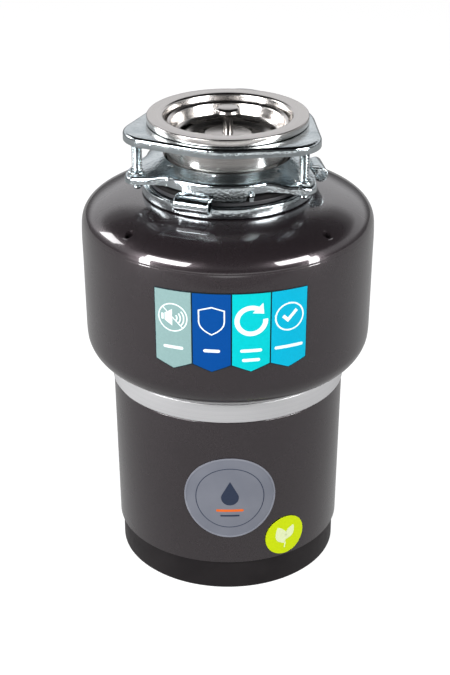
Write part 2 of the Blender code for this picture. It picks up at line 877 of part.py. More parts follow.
def make_shells(parent):
    turned(
        "lower_shell",
        [
            (lower_shell_radius(LOWER_SHELL_BOTTOM), LOWER_SHELL_BOTTOM),
            (lower_shell_radius(LOWER_SHELL_TOP), LOWER_SHELL_TOP),
            (lower_shell_radius(LOWER_SHELL_TOP) - 1.6, LOWER_SHELL_TOP),
            (lower_shell_radius(LOWER_SHELL_BOTTOM) - 1.6, LOWER_SHELL_BOTTOM),
        ],
        "grey_paint",
        SHELL_SEGMENTS,
        parent,
    )
    turned(
        "trim_band",
        [
            (82.8, BAND_BOTTOM),
            (BAND_RADIUS - 0.8, BAND_BOTTOM),
            (BAND_RADIUS, BAND_BOTTOM + 0.8),
            (BAND_RADIUS, BAND_TOP - 0.8),
            (BAND_RADIUS - 0.8, BAND_TOP),
            (82.8, BAND_TOP),
        ],
        "silver_trim",
        SHELL_SEGMENTS,
        parent,
    )
    shell = turned(
        "upper_shell",
        [
            (84.8, UPPER_SHELL_BOTTOM),
            (88.5, 160.8),
            (94.5, 164.6),
            (99.3, 169),
            (102.6, 174.5),
            (UPPER_SHELL_RADIUS, 181),
            (104.4, 200),
            (104.9, 240),
            (105.45, UPPER_SHELL_TOP),
            (103.2, UPPER_SHELL_TOP),
            (102.2, 200),
            (101.8, 181),
            (97.6, 172),
            (84.6, 162.2),
        ],
        "grey_paint",
        SHELL_SEGMENTS,
        parent,
    )
    boss_top = UPPER_SHELL_TOP - 0.01
    boss = [(91, 261.5), (103.8, 256), (103.8, boss_top), (91, boss_top)]
    join(shell, "screw_bosses", *[bar_adder(boss, 4.5, a) for a in COVER_SCREW_ANGLES])
    cut(
        shell,
        "openings",
        rod_adder((0, 90, OUTLET_HEIGHT), (0, 120, OUTLET_HEIGHT), OUTLET_COLLAR + 2, SMALL_SEGMENTS),
        *[
            rod_adder((x, 80, OUTLET_HEIGHT), (x, 120, OUTLET_HEIGHT), 3.2)
            for x in (-OUTLET_SCREW_OFFSET, OUTLET_SCREW_OFFSET)
        ],
        inlet_rod(95, 112, 11.2),
        *cover_screw_rods(255, 275, 1.9),
    )

    bottom = UPPER_SHELL_TOP + GAP
    cover = turned(
        "top_cover",
        [
            (105.45, bottom),
            (105.6, bottom + 1.2),
            (104.6, 272),
            (102.0, 276),
            (96.6, 280),
            (89, 283.3),
            (76, 286.7),
            (60, 288.3),
            (56, 287.0),
            (56, 285.4),
            (76, 284.2),
            (94, 278.2),
            (101, LEDGE_TOP),
            (90.5, LEDGE_TOP),
            (90.5, bottom),
        ],
        "grey_paint",
        SHELL_SEGMENTS,
        parent,
    )
    well = [(89.5, LEDGE_TOP - 0.8), (99.5, LEDGE_TOP - 0.8), (99.5, 276.5), (97, 279), (89.5, 281.5)]
    join(cover, "screw_wells", *[bar_adder(well, 5.0, a) for a in COVER_SCREW_ANGLES])
    cut(cover, "pockets", *cover_screw_rods(LEDGE_TOP, 295, 3.3))
    cut(cover, "shank_holes", *cover_screw_rods(260, 272, 1.9))
    for number, degrees in enumerate(COVER_SCREW_ANGLES, 1):
        seat = polar(COVER_SCREW_CIRCLE, degrees, LEDGE_TOP + GAP)
        screw(f"top_cover_screw_{number}", seat, (0, 0, -1), (2.9, 2.2), (1.5, 8.5), parent)


# ---------------------------------------------------------------- sink mount

PLATE_TOP = 338.9
PLATE_RADIUS = 61.5
LOBE_CIRCLE, LOBE_RADIUS = 52.0, 24.0  # the round corner of the plate at each mounting screw
TRACK_FADE = 3.0  # degrees over which a track flares out of the skirt


def plate_edge(degrees):
    """The backup plate's radius: a disc and three wide round corners, joined by their tangents."""
    off = math.radians(abs((degrees - MOUNT_SCREW_ANGLES[0] + 60) % 120 - 60))
    tangent = math.radians(PLATE_TANGENT)
    corner_end = math.radians(PLATE_CORNER_END)
    if off >= tangent:
        return PLATE_RADIUS
    if off >= corner_end:
        return PLATE_RADIUS / math.cos(tangent - off)
    return LOBE_CIRCLE * math.cos(off) + math.sqrt(LOBE_RADIUS**2 - (LOBE_CIRCLE * math.sin(off)) ** 2)


# Degrees from a corner's middle to where its tangent meets the disc, and to where it meets the corner.
PLATE_TANGENT = math.degrees(math.acos((PLATE_RADIUS - LOBE_RADIUS) / LOBE_CIRCLE))
PLATE_CORNER_END = math.degrees(
    math.atan2(
        LOBE_RADIUS * math.sin(math.radians(PLATE_TANGENT)),
        LOBE_CIRCLE + LOBE_RADIUS * math.cos(math.radians(PLATE_TANGENT)),
    )
)


def thrice(starts, offsets):
    """Directions at the same offsets from each of three directions, in rising order."""
    return sorted((start + offset) % 360 for start in starts for offset in offsets)


def on_track(degrees):
    """How far this direction lies inside one of the three tracks, from 0 outside to 1 inside."""
    within = (degrees - TRACK_START) % 120
    span = TRACK_END - TRACK_START
    return max(0.0, min(1.0, within / TRACK_FADE, (span - within) / TRACK_FADE))


def make_sink_flange(parent):
    sleeve_bore = SLEEVE_RADIUS - 1.1
    turned(
        "sink_flange",
        [
            (SLEEVE_RADIUS, SLEEVE_BOTTOM),
            (SLEEVE_RADIUS, 336.2),
            (45.6, 338.6),
            (48, 342.2),
            (55.6, 342.2),
            (55.8, 339.2),
            (FLANGE_RADIUS, 339.2),
            (FLANGE_RADIUS, 343.4),
            (56, FLANGE_TOP),
            (46.4, FLANGE_TOP),
            (44.9, FLANGE_TOP - 1.5),
            (44.4, 338.2),
            (sleeve_bore, 336.4),
            (sleeve_bore, SLEEVE_BOTTOM),
        ],
        "stainless",
        SHELL_SEGMENTS,
        parent,
    )
    turned(
        "sink_gasket",
        [(48.6, 339.2), (55.2, 339.2), (55.2, 341.8), (50, 341.8)],
        "rubber_black",
        FRAME_SEGMENTS,
        parent,
    )


def make_backup_plate(parent):
    """The rounded three-cornered plate under the sink flange, with its rim turned down."""
    rim_bottom, thickness = 332.4, 1.8

    def section(degrees):
        edge = plate_edge(degrees)
        return [
            (46.5, PLATE_TOP - thickness),
            (46.5, PLATE_TOP),
            (edge - 1.4, PLATE_TOP),
            (edge, PLATE_TOP - 1.4),
            (edge, rim_bottom),
            (edge - thickness, rim_bottom),
            (edge - thickness, PLATE_TOP - thickness),
        ]

    on_straight = 28
    steps = (PLATE_CORNER_END / 2, PLATE_CORNER_END, on_straight, PLATE_TANGENT)
    offsets = (0, 60, *steps, *(-step for step in steps))
    bm = bmesh.new()
    add_ring(bm, section, thrice(MOUNT_SCREW_ANGLES, offsets))
    piece("backup_plate", bm, "zinc_plate", parent)


def make_mount_screws(parent):
    low, high = 297.6, PLATE_TOP - 2.2
    section = [(0, low), (2.9, low), (MOUNT_SCREW_RADIUS, low + 1), (MOUNT_SCREW_RADIUS, high), (0, high)]
    for number, degrees in enumerate(MOUNT_SCREW_ANGLES, 1):
        start = polar(MOUNT_SCREW_CIRCLE, degrees, low)
        bm = bmesh.new()
        add_turned(bm, section, SCREW_SEGMENTS)
        shift(bm, (start.x, start.y, 0))
        piece(f"mount_screw_{number}", bm, "zinc_plate", parent, start)


def ear_outline(radius, root_half_width):
    """The plan of an ear round a mounting screw at direction 0, with its root inside the ring's skirt."""
    root = 56.9
    cap = arc((MOUNT_SCREW_CIRCLE, 0), radius, -80, 80, 6)
    return cap + [(root, root_half_width), (root, -root_half_width)]


def make_upper_mounting_ring(parent):
    """The ring that hangs from the snap ring: a plate, a skirt with three flared tracks and three ears."""

    def section(degrees):
        track = on_track(degrees)
        return [
            (45.8, 314.2),
            (45.8, 316.0),
            (55.5, 314.9),
            (58.4, 312.4),
            (58.4, 307.6),
            (58.5, 306.6 - 3.2 * track),
            (58.5 + 1.2 * track, 306.2 - 4.4 * track),
            (58.5 + 1.2 * track, 305.2 - 4.8 * track),
            (56.6 + 0.9 * track, 305.2 - 3.4 * track),
            (56.0, 312.2),
        ]

    track_length = TRACK_END - TRACK_START
    inside_track = (0, TRACK_FADE, 12, 23, 34, track_length - TRACK_FADE, track_length)
    between_tracks = (58, 70, 82, 94, 107)
    starts = (TRACK_START, TRACK_START + 120, TRACK_START + 240)
    bm = bmesh.new()
    add_ring(bm, section, thrice(starts, inside_track + between_tracks))
    ring = piece("upper_mounting_ring", bm, "zinc_plate", parent)
    foot, crown = ear_outline(8.8, 10.0), ear_outline(6.4, 8.0)
    ear_layers = [(foot, 303.2), (foot, 307.5), (crown, 311.4)]
    for number, degrees in enumerate(MOUNT_SCREW_ANGLES, 1):
        bm = bmesh.new()
        add_layers(bm, ear_layers)
        spin(bm, degrees)
        shape_with(ring, "UNION", bm, f"ear_{number}")
    hole = MOUNT_SCREW_RADIUS + 0.4
    cut(
        ring,
        "screw_holes",
        *[
            rod_adder(polar(MOUNT_SCREW_CIRCLE, a, 290), polar(MOUNT_SCREW_CIRCLE, a, 330), hole)
            for a in MOUNT_SCREW_ANGLES
        ],
    )
    turned(
        "snap_ring",
        [(44.2, 311.6), (46.0, 309.8), (47.8, 311.6), (46.0, 313.4)],
        "hardened_steel",
        FRAME_SEGMENTS,
        parent,
    )


LUG_TUBE_HEIGHT = 299.2
LUG_TUBE_RADIUS = 5.2
LUG_TUBE_BORE = 3.3
LUG_TUBE_LENGTH = 25.0
HOOK_TRAIL = 9.0  # degrees from a lug's middle back to its hook


def make_lower_mounting_ring(parent):
    """The ring that turns on the neck: a flange under the neck's lip, a band, and three rolled lugs."""
    top = LOWER_RING_BOTTOM + 7.3
    ring = turned(
        "lower_mounting_ring",
        [
            (51.4, 293.6),
            (58.6, 293.6),
            (59.6, LOWER_RING_BOTTOM),
            (61.5, LOWER_RING_BOTTOM),
            (61.5, top),
            (59.8, top),
            (59.8, 295.7),
            (51.4, 295.7),
        ],
        "zinc_plate",
        SHELL_SEGMENTS,
        parent,
    )
    # A hook stands on the trailing end of each lug and reaches in over a track of the upper ring.
    hook = [
        (62.6, 298.4),
        (65.6, 298.4),
        (65.6, 304.0),
        (65.0, 304.8),
        (59.5, 304.8),
        (59.5, 302.9),
        (62.6, 302.8),
    ]
    hooks, tubes, bores, straps = [], [], [], []
    for degrees in LUG_ANGLES:
        centre = polar(LUG_RADIUS, degrees, LUG_TUBE_HEIGHT)
        along = polar(LUG_TUBE_LENGTH / 2, degrees + 90)
        tubes.append(rod_adder(centre - along, centre + along, LUG_TUBE_RADIUS, SMALL_SEGMENTS))
        bores.append(rod_adder(centre - 2 * along, centre + 2 * along, LUG_TUBE_BORE, SCREW_SEGMENTS))
        hooks.append(bar_adder(hook, 3.2, degrees - HOOK_TRAIL))
        low, high = (60.0, -12.2, LOWER_RING_BOTTOM + 2), (61.4, 12.2, LUG_TUBE_HEIGHT)
        straps.append(box_adder(low, high, degrees))
    join(ring, "straps", *straps)
    join(ring, "tubes", *tubes)
    join(ring, "hooks", *hooks)
    cut(ring, "tube_bores", *bores)


def make_splash_baffle(parent):
    """The rubber guard in the neck: a collar on the lip, a sleeve, and a slit diaphragm."""
    baffle = turned(
        "splash_baffle",
        [
            (11, 288),
            (46.0, 288),
            (46.0, NECK_TOP + GAP),
            (57, NECK_TOP + GAP),
            (57, SLEEVE_BOTTOM - 0.6),
            (43.6, SLEEVE_BOTTOM - 0.6),
            (43.6, 290.4),
            (11, 290.4),
        ],
        "rubber_black",
        FRAME_SEGMENTS,
        parent,
    )
    slits = [box_adder((5, -0.6, 280), (38, 0.6, 296), turn) for turn in range(0, 360, 45)]
    cut(baffle, "slits", *slits[::2])
    cut(baffle, "slits_between", *slits[1::2])


# ---------------------------------------------------------------- strainer


def make_strainer(strainer):
    basket = turned(
        "strainer_basket",
        [
            (0, 328.6),
            (15.4, 328.4),
            (18.2, 324.6),
            (28.6, 325.2),
            (31.6, 327.2),
            (37.4, 327.6),
            (39.4, 330.2),
            (41.0, 337.4),
            (43.0, 338.6),
            (42.2, 339.7),
            (40.0, 338.6),
            (38.3, 331.0),
            (36.6, 328.9),
            (31.2, 328.5),
            (28.2, 326.5),
            (19.0, 326.0),
            (16.3, 329.9),
            (0, 330.1),
        ],
        "stainless",
        SHELL_SEGMENTS,
        strainer,
    )
    outer_slots = [box_adder((32.8, -5, 320), (35.4, 5, 335), turn) for turn in range(15, 375, 45)]
    inner_slots = [box_adder((21.4, -4, 320), (24.2, 4, 335), turn) for turn in range(0, 360, 60)]
    cut(basket, "slots", *outer_slots, *inner_slots, rod_adder((0, 0, 315), (0, 0, 335), 4.0))
    turned(
        "stopper_seal",
        [(40.3, 331.4), (41.7, 331.0), (41.7, 334.6), (41.1, 334.8)],
        "rubber_black",
        FRAME_SEGMENTS,
        strainer,
    )
    turned(
        "strainer_knob",
        [
            (0, 321.8),
            (7, 321.8),
            (7, 323.3),
            (3.5, 323.3),
            (3.5, 330.5),
            (4.5, 330.5),
            (4.5, 336.6),
            (3.4, 337.4),
            (3.4, 342.4),
            (8.0, 343.6),
            (9.1, 345.4),
            (8.2, 347.2),
            (5.2, 348.5),
            (0, 349.0),
        ],
        "stainless",
        SMALL_SEGMENTS,
        strainer,
    )


# ---------------------------------------------------------------- labels

LABEL_TOP = 254.0
LABEL_SHOULDER = 199.8
LABEL_TIP = 194.6
LABEL_START, LABEL_SPAN = -28.0, 58.6  # degrees from the front, towards +X
LABEL_PANELS = 4


def make_feature_label(parent):
    """A thin curved sheet of four side-by-side panels, each ending in a shallow point."""
    columns_per_panel = 4
    columns = LABEL_PANELS * columns_per_panel

    def shell_radius(height):
        return 104.4 + (height - 200) * (105.2 - 104.4) / (LABEL_TOP - 200)

    bm = bmesh.new()
    grid = []
    for column in range(columns + 1):
        degrees = 270 + LABEL_START + LABEL_SPAN * column / columns
        into_panel = abs((column % columns_per_panel) / columns_per_panel - 0.5) * 2
        low = LABEL_TIP + (LABEL_SHOULDER - LABEL_TIP) * into_panel
        corners = []
        for height, proud in ((low, 0.35), (LABEL_TOP, 0.35), (LABEL_TOP, 0.8), (low, 0.8)):
            corners.append(bm.verts.new(polar(shell_radius(height) + proud, degrees, height) * MM))
        grid.append(corners)
    for here, there in zip(grid, grid[1:]):
        for index in range(4):
            after = (index + 1) % 4
            bm.faces.new((here[index], there[index], there[after], here[after]))
    bm.faces.new(grid[0])
    bm.faces.new(grid[-1][::-1])
    piece("feature_label", bm, "label_print", parent)


def make_round_label(name, material, radius, degrees, height, rings, segments, parent):
    """A thin disc bent round the lower shell."""
    bm = bmesh.new()
    faces = []
    for proud in (0.45, 0.95):

        def vertex(across, up, proud=proud):
            around = lower_shell_radius(height + up) + proud
            turn = degrees + math.degrees(across / lower_shell_radius(height))
            return bm.verts.new(polar(around, turn, height + up) * MM)

        centre = vertex(0, 0)
        loops = []
        for ring in range(1, rings + 1):
            reach = radius * ring / rings
            loop = []
            for step in range(segments):
                angle = 2 * math.pi * step / segments
                loop.append(vertex(reach * math.cos(angle), reach * math.sin(angle)))
            loops.append(loop)
        for step in range(segments):
            after = (step + 1) % segments
            bm.faces.new((centre, loops[0][step], loops[0][after]))
            for inner, outer in zip(loops, loops[1:]):
                bm.faces.new((inner[step], outer[step], outer[after], inner[after]))
        faces.append(loops[-1])
    back, front = faces
    for step in range(segments):
        after = (step + 1) % segments
        bm.faces.new((back[step], front[step], front[after], back[after]))
    piece(name, bm, material, parent)


def main():
    clear_scene()
    make_materials()
    body = empty("disposal")
    rotor = empty("rotor_axis")
    rotor.parent = body
    strainer = empty("strainer_axis")
    strainer.parent = body

    make_base(body)
    make_motor_housing(body)
    make_upper_end_frame(body)
    make_rotor(rotor)
    make_turntable(rotor)
    make_shredder_ring(body)
    make_hopper(body)
    make_outlet(body)
    make_shells(body)
    make_sink_flange(body)
    make_backup_plate(body)
    make_upper_mounting_ring(body)
    make_mount_screws(body)
    make_lower_mounting_ring(body)
    make_splash_baffle(body)
    make_strainer(strainer)
    make_feature_label(body)
    make_round_label("front_badge", "badge_print", 33.6, 271, 81.5, 3, 24, body)
    make_round_label("eco_sticker", "sticker_print", 16.0, 300, 42.4, 2, 16, body)


main()
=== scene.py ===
"""The looks of a kitchen garbage disposal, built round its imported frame.

Sections and outlines are written in millimetres, and MM turns them into metres. The front is -Y. Heights
and radii are taken from the frame's own boxes wherever a fine piece stands in for a frame piece.
"""

import json
import math

import bmesh
import bpy
from mathutils import Matrix, Vector

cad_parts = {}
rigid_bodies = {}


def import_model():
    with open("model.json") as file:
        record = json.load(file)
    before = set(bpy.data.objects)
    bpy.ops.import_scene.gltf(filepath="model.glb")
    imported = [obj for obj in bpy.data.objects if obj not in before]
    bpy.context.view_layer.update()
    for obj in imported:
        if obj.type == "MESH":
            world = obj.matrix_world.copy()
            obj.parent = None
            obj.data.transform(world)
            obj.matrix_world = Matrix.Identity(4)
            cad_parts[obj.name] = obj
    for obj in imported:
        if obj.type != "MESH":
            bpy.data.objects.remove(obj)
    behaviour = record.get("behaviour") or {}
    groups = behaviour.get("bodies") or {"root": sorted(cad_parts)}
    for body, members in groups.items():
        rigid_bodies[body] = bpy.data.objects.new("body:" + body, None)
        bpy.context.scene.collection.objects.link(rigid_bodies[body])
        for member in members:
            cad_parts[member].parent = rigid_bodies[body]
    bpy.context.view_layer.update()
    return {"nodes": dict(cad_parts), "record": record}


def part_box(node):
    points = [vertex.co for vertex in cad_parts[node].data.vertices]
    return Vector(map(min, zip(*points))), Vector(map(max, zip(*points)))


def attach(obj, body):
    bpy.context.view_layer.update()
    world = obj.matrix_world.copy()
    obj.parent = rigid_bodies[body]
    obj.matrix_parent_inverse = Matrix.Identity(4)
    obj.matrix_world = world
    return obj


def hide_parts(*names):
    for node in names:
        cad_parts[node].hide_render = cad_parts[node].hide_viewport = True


for leftover in list(bpy.data.objects):
    bpy.data.objects.remove(leftover, do_unlink=True)
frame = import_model()
MM = 0.001
HOUSING = "housing"

# Segments round a turned piece
FINE = 192
MEDIUM = 96
SMALL = 40


def span(node):
    """(lowest, highest) corner of a frame node, in millimetres."""
    low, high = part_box(node)
    return low / MM, high / MM


def heights(node):
    """(lowest, highest) height of a frame node, in millimetres."""
    low, high = span(node)
    return low.z, high.z


# -------- nodes


def new_material(name):
    material = bpy.data.materials.new(name)
    material.use_nodes = True
    return material, material.node_tree.nodes["Principled BSDF"]


def add_node(owner, kind, **settings):
    """A new node in the tree of a material or of the world."""
    node = owner.node_tree.nodes.new(kind)
    for key, value in settings.items():
        setattr(node, key, value)
    return node


def wire(owner, source, target):
    owner.node_tree.links.new(source, target)


def put(node, constants):
    """Sets constants on a node's own sockets."""
    for socket, value in constants.items():
        node.inputs[socket].default_value = value


def split_place(owner, kind):
    """A node with the X, Y and Z of the object's own or of the generated coordinates."""
    split = add_node(owner, "ShaderNodeSeparateXYZ")
    wire(owner, add_node(owner, "ShaderNodeTexCoord").outputs[kind], split.inputs[0])
    return split


def remap(owner, value, source, target):
    """Maps a value's (low, high) range onto another one."""
    mapped = add_node(owner, "ShaderNodeMapRange")
    put(mapped, {"From Min": source[0], "From Max": source[1], "To Min": target[0], "To Max": target[1]})
    wire(owner, value, mapped.inputs["Value"])
    return mapped.outputs[0]


def colour_by(owner, value, stops):
    """A colour picked by a value from a ramp of (position, colour) stops."""
    ramp = add_node(owner, "ShaderNodeValToRGB")
    elements = ramp.color_ramp.elements
    while len(elements) < len(stops):
        elements.new(0.5)
    for element, (position, colour) in zip(elements, stops):
        element.position = position
        element.color = (*colour, 1)
    wire(owner, value, ramp.inputs[0])
    return ramp.outputs[0]


# -------- camera, stage and light


def new_object(name, data):
    obj = bpy.data.objects.new(name, data)
    bpy.context.scene.collection.objects.link(obj)
    return obj


def make_camera():
    data = bpy.data.cameras.new("camera")
    data.sensor_width = 36.0
    data.lens = 84.476
    data.shift_x = -0.0043
    camera = new_object("camera", data)
    camera.location = (0, -1.0601, 0.6968)
    camera.rotation_euler = (math.radians(63.538), 0, 0)
    bpy.context.scene.camera = camera


def soft_box(name, place, aim, size, power):
    """A rectangular light at place, facing aim. size is (width, height) in metres, power in watts."""
    data = bpy.data.lights.new(name, "AREA")
    data.shape = "RECTANGLE"
    data.size, data.size_y = size
    data.energy = power
    light = new_object(name, data)
    light.location = place
    light.visible_camera = False
    light.rotation_euler = (Vector(aim) - Vector(place)).to_track_quat("-Z", "Y").to_euler()


def make_light():
    """Two keys, a rim light, two low wings, and a studio that is dark overhead and pale low at the back."""
    middle, distance = Vector((0, 0, 0.27)), 1.35
    boxes = (
        ("key_left", (-0.66, -0.61, 0.38), (0.78, 0.44), 16),
        ("key_right", (0.71, -0.58, 0.35), (0.62, 0.42), 12),
        ("rim_left", (-0.85, 0.28, 0.44), (0.5, 0.4), 5),
        ("wing_left", (-0.88, -0.46, 0.08), (0.22, 0.7), 8),
        ("wing_right", (0.90, -0.42, 0.08), (0.22, 0.7), 6),
    )
    for name, direction, size, power in boxes:
        soft_box(name, middle + distance * Vector(direction), middle, size, power)
    world = bpy.data.worlds.new("studio")
    bpy.context.scene.world = world
    world.use_nodes = True
    world.node_tree.nodes.clear()
    split = split_place(world, "Generated")
    background = add_node(world, "ShaderNodeBackground")
    strength = remap(world, split.outputs["Y"], (-0.9, 0.9), (0.12, 0.9))
    wire(world, strength, background.inputs["Strength"])
    # Brightness by the sine of the elevation
    greys = ((0.0, 0.1), (0.1, 0.22), (0.24, 0.98), (0.43, 0.98), (0.5, 0.3), (0.58, 0.04), (1.0, 0.01))
    sky = colour_by(world, split.outputs["Z"], [(at, (grey, grey, grey * 1.02)) for at, grey in greys])
    wire(world, sky, background.inputs["Color"])
    wire(world, background.outputs[0], add_node(world, "ShaderNodeOutputWorld").inputs[0])


def plane(name, grey, height):
    """A wide, matt floor: the object, its material and its shader."""
    bpy.ops.mesh.primitive_plane_add(size=12, location=(0, 0, height))
    floor = bpy.context.object
    floor.name = name
    material, shader = new_material(name)
    put(shader, {"Base Color": (grey, grey, grey, 1), "Roughness": 0.9, "Specular IOR Level": 0.0})
    floor.data.materials.append(material)
    return floor, material, shader


def make_floor():
    """A pale floor for the camera, and the dimmer one that lights the object from below and shows in it."""
    floor, material, shader = plane("floor", 0.25, 0)
    floor.visible_glossy = False
    floor.visible_diffuse = False
    put(shader, {"Emission Color": (1, 1, 1, 1), "Emission Strength": 0.93})

    bounce, material, shader = plane("floor_bounce", 0.2, -0.001)
    bounce.visible_camera = False
    # Brightness along Y: a pale strip by the camera, a dark stretch, then slowly brighter to the back
    front, back, peak = -1.3, 0.7, 1.7
    greys = [(front, 0.2), (-1.24, peak), (-0.98, peak), (-0.93, 0.12), (-0.72, 0.12), (-0.62, 0.275)]
    greys.append((back, 0.365))
    share = remap(material, split_place(material, "Object").outputs["Y"], (front, back), (0, 1))
    stops = [((place - front) / (back - front), [grey / peak] * 3) for place, grey in greys]
    wire(material, colour_by(material, share, stops), shader.inputs["Emission Color"])
    put(shader, {"Emission Strength": peak})


# -------- materials

NOISE_RANGE = (0.3, 0.7)  # where most of a noise's values lie


def object_place(material):
    return add_node(material, "ShaderNodeTexCoord").outputs["Object"]


def round_place(material):
    """Coordinates (distance from the axis, height, 0), over which a noise runs in rings round the axis."""
    split = split_place(material, "Object")
    flat = add_node(material, "ShaderNodeCombineXYZ")
    wire(material, split.outputs["X"], flat.inputs["X"])
    wire(material, split.outputs["Y"], flat.inputs["Y"])
    reach = add_node(material, "ShaderNodeVectorMath", operation="LENGTH")
    wire(material, flat.outputs[0], reach.inputs[0])
    both = add_node(material, "ShaderNodeCombineXYZ")
    wire(material, reach.outputs["Value"], both.inputs["X"])
    wire(material, split.outputs["Z"], both.inputs["Y"])
    return both.outputs[0]


def noise(material, scale, detail, place):
    """A noise value over coordinates in metres."""
    texture = add_node(material, "ShaderNodeTexNoise")
    put(texture, {"Scale": scale, "Detail": detail})
    wire(material, place, texture.inputs["Vector"])
    return texture.outputs["Fac"]


def surface(name, tones, roughness, noises, relief, constants, place_of=object_place):
    """A material whose colour, roughness and fine relief each follow a noise of (scale, detail).

    tones are its darkest and lightest colour, roughness a range and relief a bump's (strength, distance).
    """
    material, shader = new_material(name)
    put(shader, constants)
    place = place_of(material)
    tone, gloss, grain = [noise(material, scale, detail, place) for scale, detail in noises]
    wire(material, colour_by(material, tone, list(zip(NOISE_RANGE, tones))), shader.inputs["Base Color"])
    wire(material, remap(material, gloss, NOISE_RANGE, roughness), shader.inputs["Roughness"])
    bump = add_node(material, "ShaderNodeBump")
    put(bump, {"Strength": relief[0], "Distance": relief[1]})
    wire(material, grain, bump.inputs["Height"])
    wire(material, bump.outputs[0], shader.inputs["Normal"])
    return material


def painted(name, dark, light, roughness):
    """Metallic enamel: fine flakes under a clear coat, with a faint unevenness in the gloss."""
    coat = {"Metallic": 0.6, "Coat Weight": 1.0, "Coat Roughness": 0.03, "Coat IOR": 1.68}
    noises = (2600, 1.0), (28, 3.0), (900, 2.0)
    return surface(name, (dark, light), roughness, noises, (0.05, 0.0002), coat)


def plated(name, dark, light, roughness, grain, depth):
    """Plating: patches of slightly different tone and gloss, and a fine orange-peel grain."""
    noises = (60, 4.0), (130, 4.0), (grain, 3.0)
    return surface(name, (dark, light), roughness, noises, (0.5, depth), {"Metallic": 1.0})


def brushed(name, dark, light, roughness, lines, depth, metallic=1.0):
    """Metal finished on a lathe: fine lines run round the axis."""
    noises, constants = [(lines, 3.0)] * 3, {"Metallic": metallic}
    return surface(name, (dark, light), roughness, noises, (0.25, depth), constants, round_place)


def moulded(name, dark, light, roughness, specular=0.5, grain=1400, depth=0.00012):
    """Moulded plastic or rubber: a fine texture and faint mottling."""
    noises = (45, 4.0), (220, 3.0), (grain, 2.0)
    return surface(name, (dark, light), roughness, noises, (0.3, depth), {"Specular IOR Level": specular})


def printed(name, colour):
    """Printed film: an almost even ink with a faint screen and a smooth, slightly wavy gloss."""
    tones = [0.93 * channel for channel in colour], colour
    noises = (700, 2.0), (90, 2.0), (60, 1.0)
    return surface(name, tones, (0.3, 0.38), noises, (0.05, 0.0002), {"Specular IOR Level": 0.18})


# A finished material for each of the record's slots, and the inks of the three labels
FINISHES = (
    (painted, "grey_paint", (0.026, 0.0195, 0.0225), (0.063, 0.05, 0.056), (0.24, 0.31)),
    (moulded, "black_plastic", (0.012, 0.01, 0.011), (0.017, 0.0145, 0.0155), (0.34, 0.44), 0.25),
    (brushed, "silver_trim", (0.5, 0.5, 0.51), (0.6, 0.6, 0.61), (0.28, 0.38), 2400, 0.00001, 0.35),
    (brushed, "stainless", (0.58, 0.555, 0.535), (0.7, 0.675, 0.655), (0.17, 0.25), 2000, 0.0000025),
    (plated, "zinc_plate", (0.5, 0.56, 0.585), (0.7, 0.755, 0.775), (0.07, 0.16), 520, 0.0004),
    (moulded, "rubber_black", (0.008, 0.008, 0.008), (0.014, 0.013, 0.013), (0.6, 0.8), 0.2),
    (moulded, "chamber_plastic", (0.03, 0.03, 0.033), (0.05, 0.05, 0.055), (0.4, 0.55)),
    (moulded, "insulation_foam", (0.13, 0.13, 0.14), (0.22, 0.22, 0.23), (0.9, 1.0), 0.5, 500, 0.0012),
    (plated, "cast_aluminium", (0.46, 0.47, 0.48), (0.58, 0.59, 0.6), (0.42, 0.6), 700, 0.0006),
    (plated, "hardened_steel", (0.36, 0.35, 0.34), (0.46, 0.45, 0.44), (0.25, 0.4), 500, 0.0001),
    (plated, "bearing_bronze", (0.48, 0.3, 0.13), (0.6, 0.4, 0.2), (0.3, 0.45), 500, 0.0002),
    (plated, "laminated_steel", (0.16, 0.16, 0.18), (0.27, 0.27, 0.29), (0.35, 0.5), 500, 0.0002),
    (plated, "copper_winding", (0.45, 0.16, 0.05), (0.68, 0.29, 0.12), (0.3, 0.4), 900, 0.0008),
    (moulded, "red_button", (0.42, 0.012, 0.01), (0.5, 0.018, 0.014), (0.25, 0.35)),
    (moulded, "badge_print", (0.155, 0.165, 0.2), (0.18, 0.19, 0.225), (0.35, 0.45), 0.5, 900, 0.00004),
    (moulded, "badge_rim", (0.2, 0.21, 0.25), (0.24, 0.25, 0.29), (0.3, 0.4), 0.5, 900, 0.00004),
    (printed, "badge_ink", (0.03, 0.04, 0.07)),
    (printed, "badge_accent", (0.75, 0.14, 0.02)),
    (printed, "sticker_print", (0.6, 0.74, 0.004)),
    (printed, "sticker_ink", (0.78, 0.86, 0.5)),
    (printed, "label_print", (0.004, 0.022, 0.03)),
    (printed, "white_ink", (0.88, 0.98, 0.98)),
    (printed, "panel_1", (0.265, 0.41, 0.405)),
    (printed, "panel_2", (0.0, 0.065, 0.295)),
    (printed, "panel_3", (0.0, 0.55, 0.59)),
    (printed, "panel_4", (0.0, 0.43, 0.64)),
)
LOOKS = {name: make(name, *values) for make, name, *values in FINISHES}


# -------- sections


def rounded(corners):
    """A section's points from its corners, each (radius, height) or (radius, height, fillet)."""
    points = []
    for index, corner in enumerate(corners):
        here = Vector(corner[:2])
        if len(corner) < 3:
            points.append(here)
            continue
        before = (Vector(corners[index - 1][:2]) - here).normalized()
        after = (Vector(corners[(index + 1) % len(corners)][:2]) - here).normalized()
        half = before.angle(after) / 2
        centre = here + (before + after).normalized() * corner[2] / math.sin(half)
        start = here + before * corner[2] / math.tan(half) - centre
        end = here + after * corner[2] / math.tan(half) - centre
        steps = max(2, round(math.degrees(math.pi - 2 * half) / 15))
        for step in range(steps + 1):
            points.append(centre + Matrix.Rotation(-start.angle_signed(end) * step / steps, 2) @ start)
    return [(point.x, point.y) for point in points]


